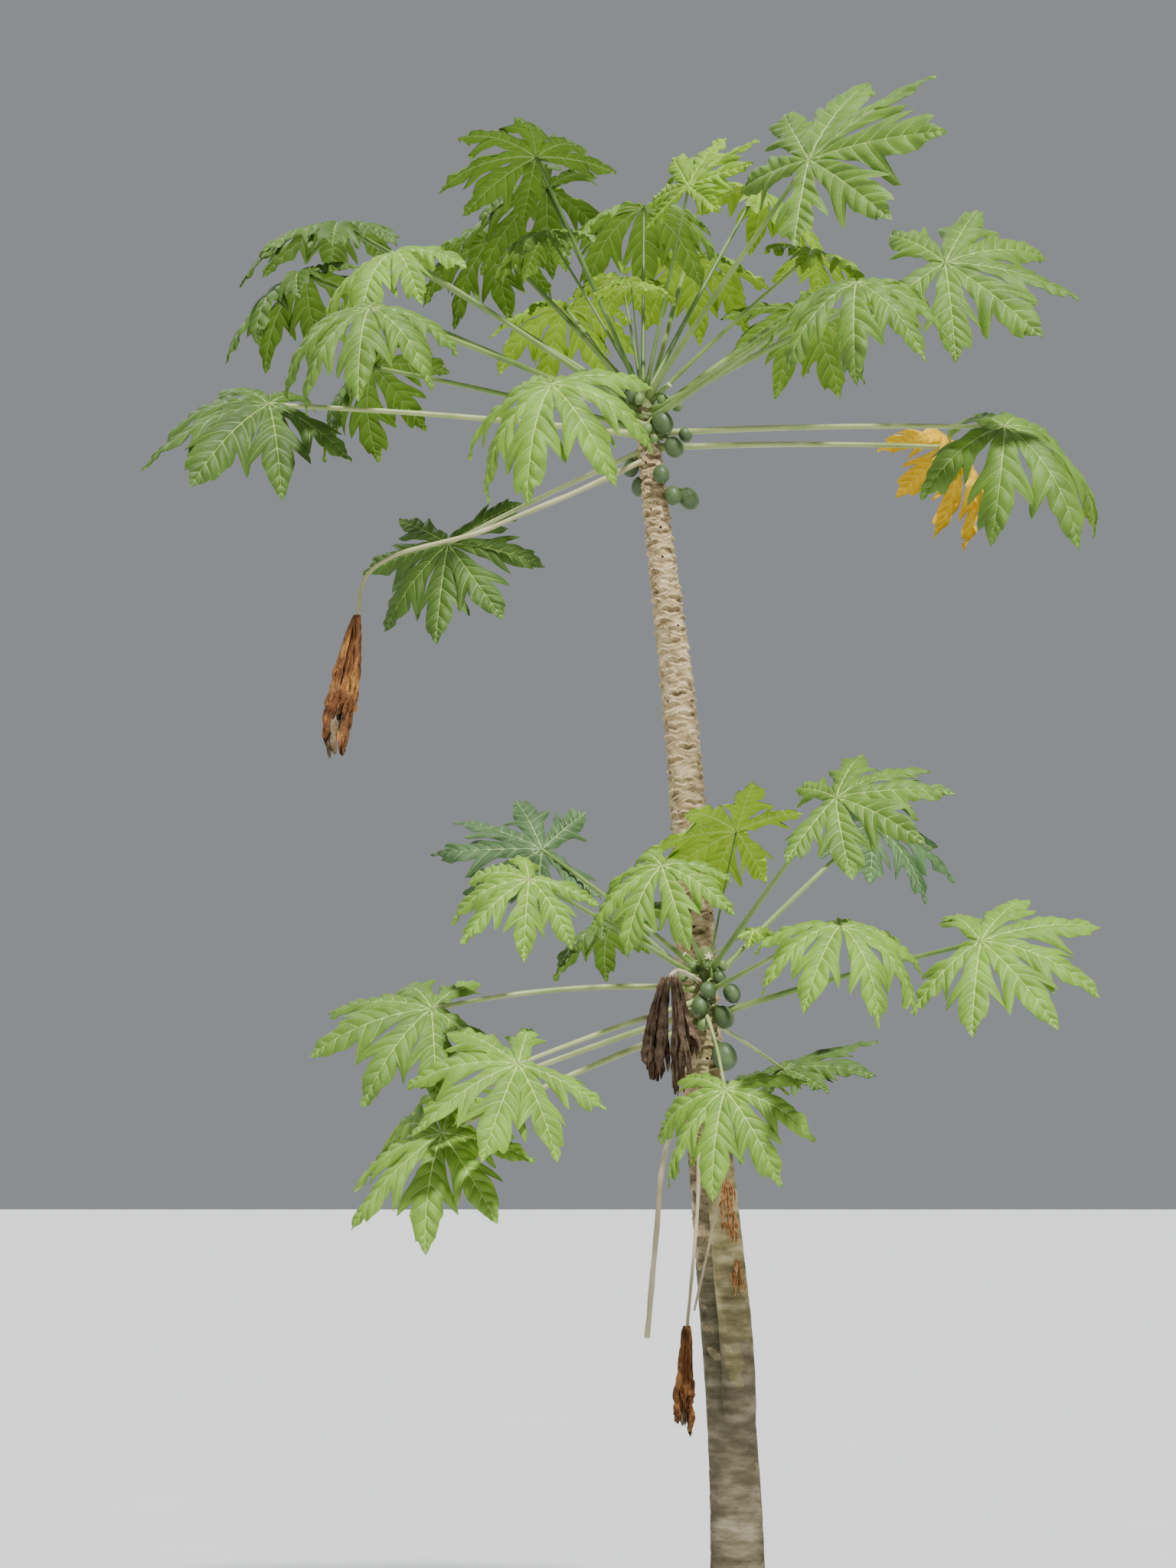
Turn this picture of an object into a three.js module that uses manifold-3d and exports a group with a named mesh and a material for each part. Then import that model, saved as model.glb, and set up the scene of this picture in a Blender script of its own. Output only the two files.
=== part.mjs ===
// Papaya tree, in millimetres, +Z up. The origin is the middle of the flat cut at ground level.
// A low fork parts the tall trunk from a shorter side stem, and each ends in a crown of
// long-stalked leaves with green fruit below them and a few dead leaves hanging.

import * as THREE from "three";
import { mergeVertices } from "three/addons/utils/BufferGeometryUtils.js";
import Module from "manifold-3d";

const wasm = await Module();
wasm.setup();

// Trunk and side stem
const trunkTop = 4062;
const trunkLean = [
  [0, 0, 0], [-19, 0, 830], [-105, 0, 1950], [-155, 0, 2890], [-229, 0, 3570], [-280, 0, trunkTop],
];
const trunkRadius = 83;
const trunkSlim = 42;
const trunkShoulder = 17;
const rootFlare = 24;
const rootFlareHeight = 190;
const trunkSides = 12;
const trunkRings = 18;

const sideTop = 2290;
const sideFoot = 760;
const sideLean = [
  [-14, -2, sideFoot], [-4, -84, 1020], [-38, -146, 1400], [-72, -170, 1740], [-101, -180, 2010],
  [-101, -180, sideTop],
];
const sideRadius = 51;
const sideSlim = 24;
const sideSides = 10;
const sideRings = 14;

const clearance = 0.4;

// Leaf stalks. Short ones and steep ones are slimmer.
const stalkFootRadius = 11;
const stalkTipRadius = 7;
const stalkTaper = 0.7;
const stalkSeat = 0.6;
const stalkBow = 0.02;
const stalkSides = 5;
const stalkSteps = 3;
const fullStalk = 900;
const steepRise = 50;
const steepSlimness = 0.8;

// Blades. Lobes are listed from the middle one outwards, in degrees and as shares of its length.
const bladeThickness = 8;
const hubRise = 5;
const lobeAngles = [0, 41, 82, 127];
const lobeLengths = [1, 0.98, 0.9, 0.76];
const sinusDepths = [0.25, 0.23, 0.2];
const basalSinusDepth = 0.1;
const lobeCup = 0.1;
const leastBend = 8;
const lobeFlutter = 12;

// Places on a lobe's outline and midrib, as shares of its length along it and to each side
const shoulderAt = [0.655, 0.225];
const notchAt = [0.61, 0.1];
const barbAt = [0.86, 0.125];
const outerNotchAt = [0.85, 0.07];
const middleAt = 0.48;
const outerAt = 0.77;

// Fruit
const fruitSides = 6;
const fruitStalkSides = 4;
const fruitStalkRadius = 6;
const fruitDroop = 60;
const fruitProfile = [[0, -0.5], [0.27, -0.36], [0.41, 0.02], [0.3, 0.34], [0, 0.5]];
const knotReach = 12;

// Dead blades, folded into ridges along their length
const ragRings = 5;
const ragSides = 8;
const ragValley = 0.55;
const ragCrease = 0.2;
const ragSway = 0.12;
const ragNeck = 0.16;

const leafGreen = 0x4f8a35;
const leafYellow = 0xd9a126;
const stalkStraw = 0xb7a772;
const deadBrown = 0x7a4a2a;
const barkGrey = 0x9a8a72;
const fruitGreen = 0x3f6b3a;

const radians = THREE.MathUtils.degToRad;

function finish(colour, roughness) {
  return new THREE.MeshStandardMaterial({ color: colour, roughness, metalness: 0 });
}

const bark = finish(barkGrey, 0.9);
const leafSurface = finish(leafGreen, 0.6);
const oldLeafSurface = finish(leafYellow, 0.65);
const deadSurface = finish(deadBrown, 0.85);
const strawSurface = finish(stalkStraw, 0.8);
const fruitSurface = finish(fruitGreen, 0.5);

const part = new THREE.Group();

function solidFrom(geometry) {
  const plain = geometry.clone();
  plain.deleteAttribute("normal");
  plain.deleteAttribute("uv");
  const merged = mergeVertices(plain, 1e-4);
  return new wasm.Manifold(new wasm.Mesh({
    numProp: 3,
    vertProperties: new Float32Array(merged.attributes.position.array),
    triVerts: new Uint32Array(merged.index.array),
  }));
}

function solidFromFaces(points, faces) {
  const geometry = new THREE.BufferGeometry().setFromPoints(points);
  geometry.setIndex(faces.flat());
  return solidFrom(geometry);
}

function addNode(name, solid, material) {
  const mesh = solid.getMesh();
  const geometry = new THREE.BufferGeometry();
  geometry.setAttribute("position", new THREE.BufferAttribute(mesh.vertProperties, 3));
  geometry.setIndex(new THREE.BufferAttribute(mesh.triVerts, 1));
  geometry.computeVertexNormals();
  const node = new THREE.Mesh(geometry, material);
  node.name = name;
  part.add(node);
}

function largestBody(solid) {
  return solid.decompose().reduce((most, body) => (body.volume() > most.volume() ? body : most));
}

// A closed skin over rings of points, each ring anticlockwise seen from the next
function skin(rings) {
  const sides = rings[0].length;
  const points = rings.flat();
  const faces = [];
  for (let row = 0; row < rings.length - 1; row += 1) {
    for (let side = 0; side < sides; side += 1) {
      const a = row * sides + side;
      const b = row * sides + ((side + 1) % sides);
      faces.push([a, b, b + sides], [a, b + sides, a + sides]);
    }
  }
  const last = points.length - sides;
  for (let side = 1; side < sides - 1; side += 1) {
    faces.push([0, side + 1, side], [last, last + side, last + side + 1]);
  }
  return solidFromFaces(points, faces);
}

function ring(centre, across, along, radius, sides) {
  return Array.from({ length: sides }, (_, side) => {
    const angle = (2 * Math.PI * side) / sides;
    return centre.clone()
      .addScaledVector(across, radius * Math.cos(angle))
      .addScaledVector(along, radius * Math.sin(angle));
  });
}

function curveThrough(stations) {
  return new THREE.CatmullRomCurve3(stations.map((station) => new THREE.Vector3(...station)));
}

// An upright stem whose rings are all level, so its foot is a level cut
function uprightStem(curve, radiusAt, sides, rings, swelling = 0) {
  const east = new THREE.Vector3(1, 0, 0);
  const north = new THREE.Vector3(0, 1, 0);
  const levels = Array.from({ length: rings + 1 }, (_, row) => {
    const centre = curve.getPoint(row / rings);
    return ring(centre, east, north, radiusAt(centre.z) + swelling, sides);
  });
  return skin(levels);
}

function trunkRadiusAt(height) {
  const share = height / trunkTop;
  const flare = rootFlare * Math.exp(-height / rootFlareHeight);
  return trunkRadius - trunkSlim * share - trunkShoulder * share ** 8 + flare;
}

function sideRadiusAt(height) {
  const share = (height - sideFoot) / (sideTop - sideFoot);
  return sideRadius - sideSlim * share ** 2;
}

const trunkCurve = curveThrough(trunkLean);
const sideCurve = curveThrough(sideLean);

function trunkSolid(swelling) {
  return uprightStem(trunkCurve, trunkRadiusAt, trunkSides, trunkRings, swelling);
}

function sideSolid(swelling) {
  return uprightStem(sideCurve, sideRadiusAt, sideSides, sideRings, swelling);
}

const stemKeepOut = trunkSolid(clearance).add(sideSolid(clearance));

function stemCentre(stem, height) {
  const curve = stem === "side" ? sideCurve : trunkCurve;
  let low = 0;
  let high = 1;
  for (let step = 0; step < 24; step += 1) {
    const middle = (low + high) / 2;
    if (curve.getPoint(middle).z < height) low = middle;
    else high = middle;
  }
  return curve.getPoint(low);
}

function direction(heading, rise) {
  const level = Math.cos(radians(rise));
  return new THREE.Vector3(
    level * Math.cos(radians(heading)),
    level * Math.sin(radians(heading)),
    Math.sin(radians(rise)),
  );
}

// A round stalk along a curve that keeps to one heading, thinner towards its tip
function stalkSolid(curve, heading, footRadius, tipRadius, steps = stalkSteps, sides = stalkSides) {
  const across = direction(heading + 90, 0);
  const rings = Array.from({ length: steps + 1 }, (_, row) => {
    const share = row / steps;
    const over = new THREE.Vector3().crossVectors(curve.getTangent(share), across).normalize();
    const radius = THREE.MathUtils.lerp(footRadius, tipRadius, share ** stalkTaper);
    return ring(curve.getPoint(share), across, over, radius, sides);
  });
  return skin(rings);
}

// The plan of a blade: points in polar form round the hub, and the faces of its upper side.
// Sharp points lie on both sides at once, the others have the blade's thickness.
function bladePlan() {
  const points = [{ reach: 0, angle: 0, across: 0, sharp: false }];
  const faces = [];

  function addPoint(reach, angle, across, sharp) {
    points.push({ reach, angle, across, sharp });
    return points.length - 1;
  }

  function alongLobe(lobe, forward, sideways, sharp) {
    const reach = Math.hypot(forward, sideways) * lobe.length;
    const swing = THREE.MathUtils.radToDeg(Math.atan2(sideways, forward));
    return addPoint(reach, lobe.angle + swing, Math.abs(sideways) * lobe.length, sharp);
  }

  function halfLobe(lobe, side, sinus, middle, outer, tip) {
    const shoulder = alongLobe(lobe, shoulderAt[0], side * shoulderAt[1], true);
    const notch = alongLobe(lobe, notchAt[0], side * notchAt[1], false);
    const half = [[0, sinus, middle], [sinus, shoulder, notch], [sinus, notch, middle]];
    if (outer === middle) {
      half.push([middle, notch, tip]);
    } else {
      const barb = alongLobe(lobe, barbAt[0], side * barbAt[1], true);
      const outerNotch = alongLobe(lobe, outerNotchAt[0], side * outerNotchAt[1], false);
      half.push([middle, notch, outer], [outer, notch, outerNotch]);
      half.push([notch, barb, outerNotch], [outer, outerNotch, tip]);
    }
    faces.push(...(side < 0 ? half : half.map(([a, b, c]) => [a, c, b])));
  }

  const lobes = [];
  for (let place = -3; place <= 3; place += 1) {
    const rank = Math.abs(place);
    lobes.push({ rank, angle: Math.sign(place) * lobeAngles[rank], length: lobeLengths[rank] });
  }
  const basal = addPoint(basalSinusDepth, 180, 0, false);
  const sinuses = [basal];
  for (let gap = 0; gap < 6; gap += 1) {
    const rank = gap < 3 ? 2 - gap : gap - 3;
    const angle = (lobes[gap].angle + lobes[gap + 1].angle) / 2;
    sinuses.push(addPoint(sinusDepths[rank], angle, 0, false));
  }
  sinuses.push(basal);
  lobes.forEach((lobe, index) => {
    const middle = alongLobe(lobe, middleAt, 0, false);
    const outer = lobe.rank > 1 ? middle : alongLobe(lobe, outerAt, 0, false);
    const tip = alongLobe(lobe, 1, 0, true);
    halfLobe(lobe, -1, sinuses[index], middle, outer, tip);
    halfLobe(lobe, 1, sinuses[index + 1], middle, outer, tip);
  });
  return { points, faces };
}

const plan = bladePlan();

// Two sheets of faces with walls between them along the open edges
function thickSheet(plan, place) {
  const points = [];
  const top = [];
  const bottom = [];
  plan.points.forEach((point, index) => {
    top[index] = points.push(place(point, point.sharp ? 0 : 1)) - 1;
    bottom[index] = point.sharp ? top[index] : points.push(place(point, -1)) - 1;
  });
  const faces = [];
  const inner = new Set();
  plan.faces.forEach(([a, b, c]) => {
    [[a, b], [b, c], [c, a]].forEach(([from, to]) => inner.add(`${from},${to}`));
    faces.push([top[a], top[b], top[c]], [bottom[a], bottom[c], bottom[b]]);
  });
  inner.forEach((edge) => {
    const [from, to] = edge.split(",").map(Number);
    if (inner.has(`${to},${from}`)) return;
    if (top[from] !== bottom[from]) faces.push([top[from], bottom[from], bottom[to]]);
    if (top[to] !== bottom[to]) faces.push([top[from], bottom[to], top[to]]);
  });
  return solidFromFaces(points, faces);
}

// A lobed blade that bends from its hub until its lobes hang at one slope
function bladeSolid(leaf, hub) {
  const heading = leaf.face ?? leaf.heading;
  const forward = direction(heading, -leaf.pitch);
  const level = direction(heading + 90, 0);
  const normal = new THREE.Vector3().crossVectors(forward, level);
  const bank = new THREE.Quaternion().setFromAxisAngle(forward, radians(leaf.roll ?? 0));
  level.applyQuaternion(bank);
  normal.applyQuaternion(bank);

  function place(point, side) {
    const angle = radians(point.angle);
    const outward = forward.clone().multiplyScalar(Math.cos(angle))
      .addScaledVector(level, Math.sin(angle));
    const flutter = lobeFlutter * Math.sin(3 * angle + leaf.heading);
    const bend = radians(leaf.droop * Math.sqrt(1 - outward.z ** 2) + leastBend + flutter);
    const turned = bend * Math.min(1, point.reach);
    const reach = (Math.sin(turned) / bend) * leaf.lobe;
    const drop = ((1 - Math.cos(turned)) / bend) * leaf.lobe;
    const lift = lobeCup * point.across * leaf.lobe - drop + (point.reach === 0 ? side * hubRise : 0);
    const skinNormal = normal.clone().multiplyScalar(Math.cos(turned))
      .addScaledVector(outward, Math.sin(turned));
    return hub.clone()
      .addScaledVector(outward, reach)
      .addScaledVector(normal, lift)
      .addScaledVector(skinNormal, (side * bladeThickness) / 2);
  }
  return thickSheet(plan, place);
}

function stemRadius(stem, height) {
  return stem === "side" ? sideRadiusAt(height) : trunkRadiusAt(height);
}

function bowedCurve(foot, tip, bow) {
  const middle = foot.clone().lerp(tip, 0.5);
  middle.z += bow;
  return new THREE.QuadraticBezierCurve3(foot, middle, tip);
}

function stalkCurve(leaf) {
  const inset = stalkSeat * stemRadius(leaf.stem, leaf.foot);
  const foot = stemCentre(leaf.stem, leaf.foot).addScaledVector(direction(leaf.heading, 0), inset);
  const hub = foot.clone().addScaledVector(direction(leaf.heading, leaf.rise), leaf.length - inset);
  return bowedCurve(foot, hub, leaf.bow ?? stalkBow * leaf.length);
}

function leafStalk(leaf, swelling) {
  const slimness = Math.min(1, leaf.length / fullStalk) * (leaf.rise > steepRise ? steepSlimness : 1);
  const footRadius = stalkFootRadius * slimness + swelling;
  const tipRadius = stalkTipRadius * slimness + swelling;
  return stalkSolid(stalkCurve(leaf), leaf.heading, footRadius, tipRadius);
}

function leafSolid(leaf) {
  const blade = bladeSolid(leaf, stalkCurve(leaf).getPoint(1));
  return largestBody(leafStalk(leaf, 0).add(blade).subtract(stemKeepOut));
}

// A green fruit round its own axis, from its stalk end to its blunt tip
function fruitSolid(centre, axis, length) {
  const outline = fruitProfile.map(([across, along]) => (
    new THREE.Vector2(across * length, along * length)
  ));
  const lathe = new THREE.LatheGeometry(outline, fruitSides);
  const turn = new THREE.Quaternion().setFromUnitVectors(new THREE.Vector3(0, 1, 0), axis);
  lathe.applyQuaternion(turn);
  lathe.translate(centre.x, centre.y, centre.z);
  return solidFrom(lathe);
}

function fruitStalk(from, to, heading) {
  const line = new THREE.LineCurve3(from, to);
  return stalkSolid(line, heading, fruitStalkRadius, fruitStalkRadius, 1, fruitStalkSides);
}

function clusterSolid(cluster, keepOut) {
  const core = stemCentre(cluster.stem, cluster.height);
  const outward = direction(cluster.heading, 0);
  const knotOut = stemRadius(cluster.stem, cluster.height) + knotReach;
  const knot = core.clone().addScaledVector(outward, knotOut);
  let solid = fruitStalk(core, knot, cluster.heading);
  cluster.fruit.forEach(([heading, height, out, length]) => {
    const centre = stemCentre(cluster.stem, height).addScaledVector(direction(heading, 0), out);
    solid = solid.add(fruitStalk(knot, centre, heading));
    solid = solid.add(fruitSolid(centre, direction(heading, -fruitDroop), length));
  });
  return largestBody(solid.subtract(keepOut));
}

// A dead blade that has folded up and hangs like a rag, ridged along its length
function ragSolid({ top, length, width, lean }) {
  const east = new THREE.Vector3(1, 0, 0);
  const south = new THREE.Vector3(0, -1, 0);
  const rings = Array.from({ length: ragRings + 1 }, (_, row) => {
    const share = row / ragRings;
    const belly = ragNeck + (1 - ragNeck) * Math.sin(Math.PI * (0.08 + 0.9 * share)) ** 0.8;
    const sway = lean * share + ragSway * width * Math.sin(5 * share + lean);
    const centre = new THREE.Vector3(top[0] + sway, top[1], top[2] - length * share);
    return ring(centre, east, south, 1, ragSides).map((point, side) => {
      const ridge = side % 2 === 0 ? 1 : ragValley;
      const fold = 1 - ragCrease + ragCrease * Math.sin(3 * side + 7 * share + lean);
      const spread = (width / 2) * belly * ridge * fold;
      return centre.clone().addScaledVector(point.sub(centre), spread);
    });
  });
  return skin(rings);
}

function deadLeafSolid(dead) {
  const curve = curveThrough(dead.stalk);
  const steps = dead.stalk.length + 2;
  let solid = stalkSolid(curve, dead.heading, dead.footRadius, dead.tipRadius, steps);
  dead.rags.forEach((rag) => {
    solid = solid.add(ragSolid(rag));
  });
  return largestBody(solid.subtract(stemKeepOut));
}

// Leaves of the tall trunk's crown, each by its stalk and the set of its blade
const upperLeaves = [
  { foot: 3902, heading: 352, rise: -1, length: 1100, lobe: 500, pitch: 12, roll: 36, droop: 80 },
  {
    foot: 3858, heading: 20, rise: 5, length: 1050,
    lobe: 360, pitch: 45, roll: 10, droop: 78, old: true,
  },
  {
    foot: 3970, heading: 333, rise: 19, length: 1050,
    lobe: 430, face: 350, pitch: 5, roll: 50, droop: 26,
  },
  { foot: 3940, heading: 310, rise: 14, length: 950, lobe: 380, face: 256, pitch: 34, droop: 70 },
  {
    foot: 4015, heading: 314, rise: 41, length: 920,
    lobe: 460, face: 345, pitch: -40, roll: 50, droop: 20,
  },
  { foot: 4030, heading: 43, rise: 57, length: 940, lobe: 360, pitch: 5, roll: 25, droop: 55 },
  { foot: 4052, heading: 88, rise: 68, length: 740, lobe: 400, face: 90, pitch: 0, roll: 0, droop: 70 },
  { foot: 4056, heading: 160, rise: 60, length: 620, lobe: 270, face: 200, pitch: 10, droop: 60 },
  {
    foot: 4040, heading: 132, rise: 60, length: 900,
    lobe: 390, face: 178, pitch: 10, roll: 12, droop: 52,
  },
  {
    foot: 4035, heading: 192, rise: 66, length: 820,
    lobe: 360, face: 222, pitch: -15, roll: 10, droop: 42,
  },
  { foot: 4010, heading: 126, rise: 41, length: 1140, lobe: 350, pitch: 20, droop: 56 },
  { foot: 3948, heading: 216, rise: 10, length: 1030, lobe: 410, pitch: 25, roll: -20, droop: 72 },
  {
    foot: 3963, heading: 186, rise: 33, length: 930,
    lobe: 350, face: 195, pitch: 20, roll: -15, droop: 62,
  },
  { foot: 3942, heading: 169, rise: 26, length: 1230, lobe: 400, face: 178, pitch: 20, droop: 60 },
  { foot: 3915, heading: 156, rise: 18, length: 1020, lobe: 360, pitch: 35, droop: 66 },
  { foot: 3895, heading: 198, rise: 0, length: 1200, lobe: 440, pitch: 8, roll: -35, droop: 45 },
  { foot: 3920, heading: 249, rise: -5, length: 810, lobe: 430, pitch: 42, droop: 72 },
  { foot: 3850, heading: 148, rise: -16, length: 790, lobe: 370, face: 250, pitch: 65, droop: 26 },
  { foot: 3950, heading: 108, rise: 36, length: 1020, lobe: 350, pitch: 15, droop: 56 },
  { foot: 4028, heading: 104, rise: 61, length: 530, lobe: 220, pitch: 0, droop: 35 },
  { foot: 4054, heading: 250, rise: 72, length: 320, lobe: 150, pitch: 0, droop: 30 },
  { foot: 3975, heading: 78, rise: 44, length: 1060, lobe: 360, pitch: 10, droop: 56 },
  { foot: 3955, heading: 55, rise: 32, length: 1100, lobe: 370, pitch: 20, droop: 62 },
  { foot: 4000, heading: 352, rise: 42, length: 700, lobe: 290, pitch: 15, droop: 50 },
  {
    foot: 3988, heading: 165, rise: 34, length: 1220,
    lobe: 400, face: 185, pitch: 5, roll: -10, droop: 38,
  },
  {
    foot: 4050, heading: 323, rise: 75, length: 650,
    lobe: 270, face: 45, pitch: -60, roll: 0, droop: 15,
  },
].map((leaf) => ({ stem: "trunk", ...leaf }));

// Leaves of the side stem's crown
const lowerLeaves = [
  { foot: 2080, heading: 335, rise: 13, length: 880, lobe: 390, pitch: 4, roll: 42, droop: 38 },
  {
    foot: 2150, heading: 302, rise: 13, length: 690,
    lobe: 360, face: 296, pitch: 25, roll: 5, droop: 68,
  },
  {
    foot: 2205, heading: 307, rise: 39, length: 760,
    lobe: 345, face: 338, pitch: -12, roll: 42, droop: 30,
  },
  {
    foot: 2180, heading: 35, rise: 39, length: 840,
    lobe: 330, face: 0, pitch: 15, roll: 30, droop: 40,
  },
  {
    foot: 2250, heading: 346, rise: 78, length: 405,
    lobe: 320, face: 195, pitch: 0, roll: 30, droop: 22,
  },
  {
    foot: 2225, heading: 252, rise: 31, length: 520,
    lobe: 300, face: 228, pitch: 40, roll: -15, droop: 65,
  },
  { foot: 2190, heading: 218, rise: 22, length: 705, lobe: 290, pitch: 25, roll: -30, droop: 52 },
  {
    foot: 2215, heading: 143, rise: 34, length: 740,
    lobe: 350, face: 190, pitch: 0, roll: -48, droop: 16,
  },
  {
    foot: 2160, heading: 194, rise: -5, length: 830,
    lobe: 390, face: 192, pitch: 5, roll: -36, droop: 42, bow: 60,
  },
  {
    foot: 2125, heading: 223, rise: -16, length: 770,
    lobe: 370, face: 208, pitch: 18, roll: -36, droop: 35,
  },
  {
    foot: 2095, heading: 160, rise: -18, length: 870,
    lobe: 360, face: 185, pitch: 25, roll: -20, droop: 35,
  },
  {
    foot: 2060, heading: 206, rise: -22, length: 910,
    lobe: 380, face: 198, pitch: 32, roll: -32, droop: 48,
  },
  {
    foot: 2070, heading: 61, rise: -14, length: 560,
    lobe: 320, face: 10, pitch: -22, roll: 10, droop: 15,
  },
  {
    foot: 2085, heading: 275, rise: -29, length: 510,
    lobe: 345, face: 250, pitch: 45, droop: 70, bow: 60,
  },
  { foot: 2165, heading: 115, rise: 25, length: 650, lobe: 320, pitch: 15, roll: -20, droop: 40 },
  {
    foot: 2262, heading: 352, rise: 28, length: 165,
    lobe: 100, face: 340, pitch: 10, roll: 20, droop: 30,
  },
].map((leaf) => ({ stem: "side", ...leaf }));

// Dead leaves, each a bare stalk that hangs through the stations, some with a rag of blade
const deadLeaves = [
  {
    name: "dead_leaf_upper", heading: 195, footRadius: 11, tipRadius: 6,
    stalk: [
      [-272, -8, 3818], [-430, -60, 3728], [-750, -140, 3570], [-1130, -256, 3365], [-1138, -270, 3262],
    ],
    rags: [{ top: [-1142, -270, 3275], length: 420, width: 120, lean: -60 }],
  },
  {
    name: "dead_leaf_lower", heading: 235, footRadius: 9, tipRadius: 7,
    stalk: [[-105, -190, 2172], [-150, -270, 2196], [-200, -350, 2198], [-222, -372, 2165]],
    rags: [
      { top: [-226, -374, 2185], length: 330, width: 70, lean: -35 },
      { top: [-206, -372, 2190], length: 360, width: 60, lean: 12 },
      { top: [-192, -366, 2185], length: 290, width: 56, lean: 45 },
    ],
  },
  {
    name: "dead_stalk_long", heading: 228, footRadius: 8, tipRadius: 9,
    stalk: [
      [-118, -180, 1828], [-200, -300, 1756], [-232, -330, 1645], [-250, -340, 1470], [-280, -340, 1147],
    ],
    rags: [],
  },
  {
    name: "dead_leaf_hanging", heading: 255, footRadius: 7, tipRadius: 5,
    stalk: [[-92, -180, 1738], [-123, -280, 1695], [-129, -290, 1557], [-164, -300, 1165]],
    rags: [{ top: [-164, -300, 1180], length: 300, width: 66, lean: -10 }],
  },
  {
    name: "dead_stalk_short", heading: 285, footRadius: 5, tipRadius: 4,
    stalk: [[-72, -180, 1790], [-45, -270, 1745], [-62, -300, 1600], [-143, -330, 1224]],
    rags: [],
  },
];

// Fruit, each by its place round its stem and its length, and joined by stalks at one knot
const fruitClusters = [
  { stem: "trunk", heading: 225, height: 4030, fruit: [[218, 4018, 52, 56], [250, 4000, 50, 38]] },
  { stem: "trunk", heading: 350, height: 4020, fruit: [[335, 4002, 62, 42], [0, 3992, 98, 44]] },
  {
    stem: "trunk", heading: 300, height: 3945,
    fruit: [[312, 3922, 70, 80], [268, 3903, 52, 40], [286, 3872, 58, 34]],
  },
  { stem: "trunk", heading: 340, height: 3880, fruit: [[352, 3893, 116, 48], [328, 3846, 88, 70]] },
  { stem: "trunk", heading: 310, height: 3775, fruit: [[292, 3757, 66, 62]] },
  { stem: "trunk", heading: 335, height: 3712, fruit: [[318, 3692, 74, 64], [346, 3688, 106, 74]] },
  {
    stem: "trunk", heading: 110, height: 3830,
    fruit: [[95, 3806, 74, 72], [150, 3800, 72, 58], [122, 3748, 74, 66]],
  },
  { stem: "side", heading: 215, height: 2236, fruit: [[218, 2228, 46, 30], [182, 2196, 66, 34]] },
  {
    stem: "side", heading: 300, height: 2188,
    fruit: [
      [275, 2234, 50, 38], [314, 2192, 60, 46], [338, 2230, 54, 36], [276, 2152, 64, 56],
      [332, 2145, 90, 60],
    ],
  },
  {
    stem: "side", heading: 290, height: 2106,
    fruit: [[254, 2106, 62, 62], [262, 2054, 56, 42], [318, 2074, 74, 72]],
  },
  { stem: "side", heading: 312, height: 2000, fruit: [[311, 1958, 76, 88]] },
];

function label(group, index) {
  return `${group}_${String(index + 1).padStart(2, "0")}`;
}

addNode("trunk", trunkSolid(0), bark);
addNode("side_stem", largestBody(sideSolid(0).subtract(trunkSolid(clearance))), bark);

upperLeaves.forEach((leaf, index) => {
  addNode(label("leaf_upper", index), leafSolid(leaf), leaf.old ? oldLeafSurface : leafSurface);
});
lowerLeaves.forEach((leaf, index) => {
  addNode(label("leaf_lower", index), leafSolid(leaf), leafSurface);
});

deadLeaves.forEach((dead) => {
  const solid = deadLeafSolid(dead);
  addNode(dead.name, solid, dead.rags.length ? deadSurface : strawSurface);
});

const stalkKeepOut = [...upperLeaves, ...lowerLeaves].reduce(
  (all, leaf) => all.add(leafStalk(leaf, clearance)),
  stemKeepOut,
);
fruitClusters.forEach((cluster, index) => {
  addNode(label("fruit", index), clusterSolid(cluster, stalkKeepOut), fruitSurface);
});

export default part;
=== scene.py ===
# Papaya tree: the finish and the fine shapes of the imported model, in metres, +Z up.
# Each leaf, dead leaf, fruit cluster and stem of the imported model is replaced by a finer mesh
# that follows the same rule and keeps the same place.

import math
import random
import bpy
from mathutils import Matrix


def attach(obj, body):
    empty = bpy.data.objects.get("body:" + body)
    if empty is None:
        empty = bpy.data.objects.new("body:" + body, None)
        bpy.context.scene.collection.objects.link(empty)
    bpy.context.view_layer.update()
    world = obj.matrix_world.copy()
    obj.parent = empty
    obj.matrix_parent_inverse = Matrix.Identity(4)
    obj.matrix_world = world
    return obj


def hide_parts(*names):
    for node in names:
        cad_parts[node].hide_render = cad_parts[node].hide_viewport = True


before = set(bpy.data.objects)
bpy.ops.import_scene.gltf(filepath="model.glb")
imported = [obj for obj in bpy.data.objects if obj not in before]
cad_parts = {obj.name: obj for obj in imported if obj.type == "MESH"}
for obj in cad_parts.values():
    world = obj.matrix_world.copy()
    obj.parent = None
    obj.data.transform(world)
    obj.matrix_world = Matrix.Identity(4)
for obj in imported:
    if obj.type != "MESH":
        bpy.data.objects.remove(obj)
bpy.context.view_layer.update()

from types import SimpleNamespace

import bpy
import numpy as np
from mathutils import Quaternion, Vector, noise

# Camera, as the photo was taken: eye height, a little left of the trunk, looking slightly up
CAMERA_PLACE = Vector((-0.45, -9.0, 1.6))
CAMERA_RISE = 7.6
CAMERA_LENS = 68.0
CAMERA_SENSOR = 36.0

# Light and floor
SKY_COLOUR = (0.86, 0.9, 0.94, 1)
SKY_STRENGTH = 0.31
FLOOR_HALF_WIDTH = 150

# Noise in the materials, the part of it that their tones span, and the depth of their bump
DRIFT_DETAIL = 5.0
DRIFT_ROUGHNESS = 0.6
RAMP_SPAN = (0.3, 0.7)
GRAIN_DETAIL = 4.0
BUMP_DEPTH = 0.004

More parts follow.
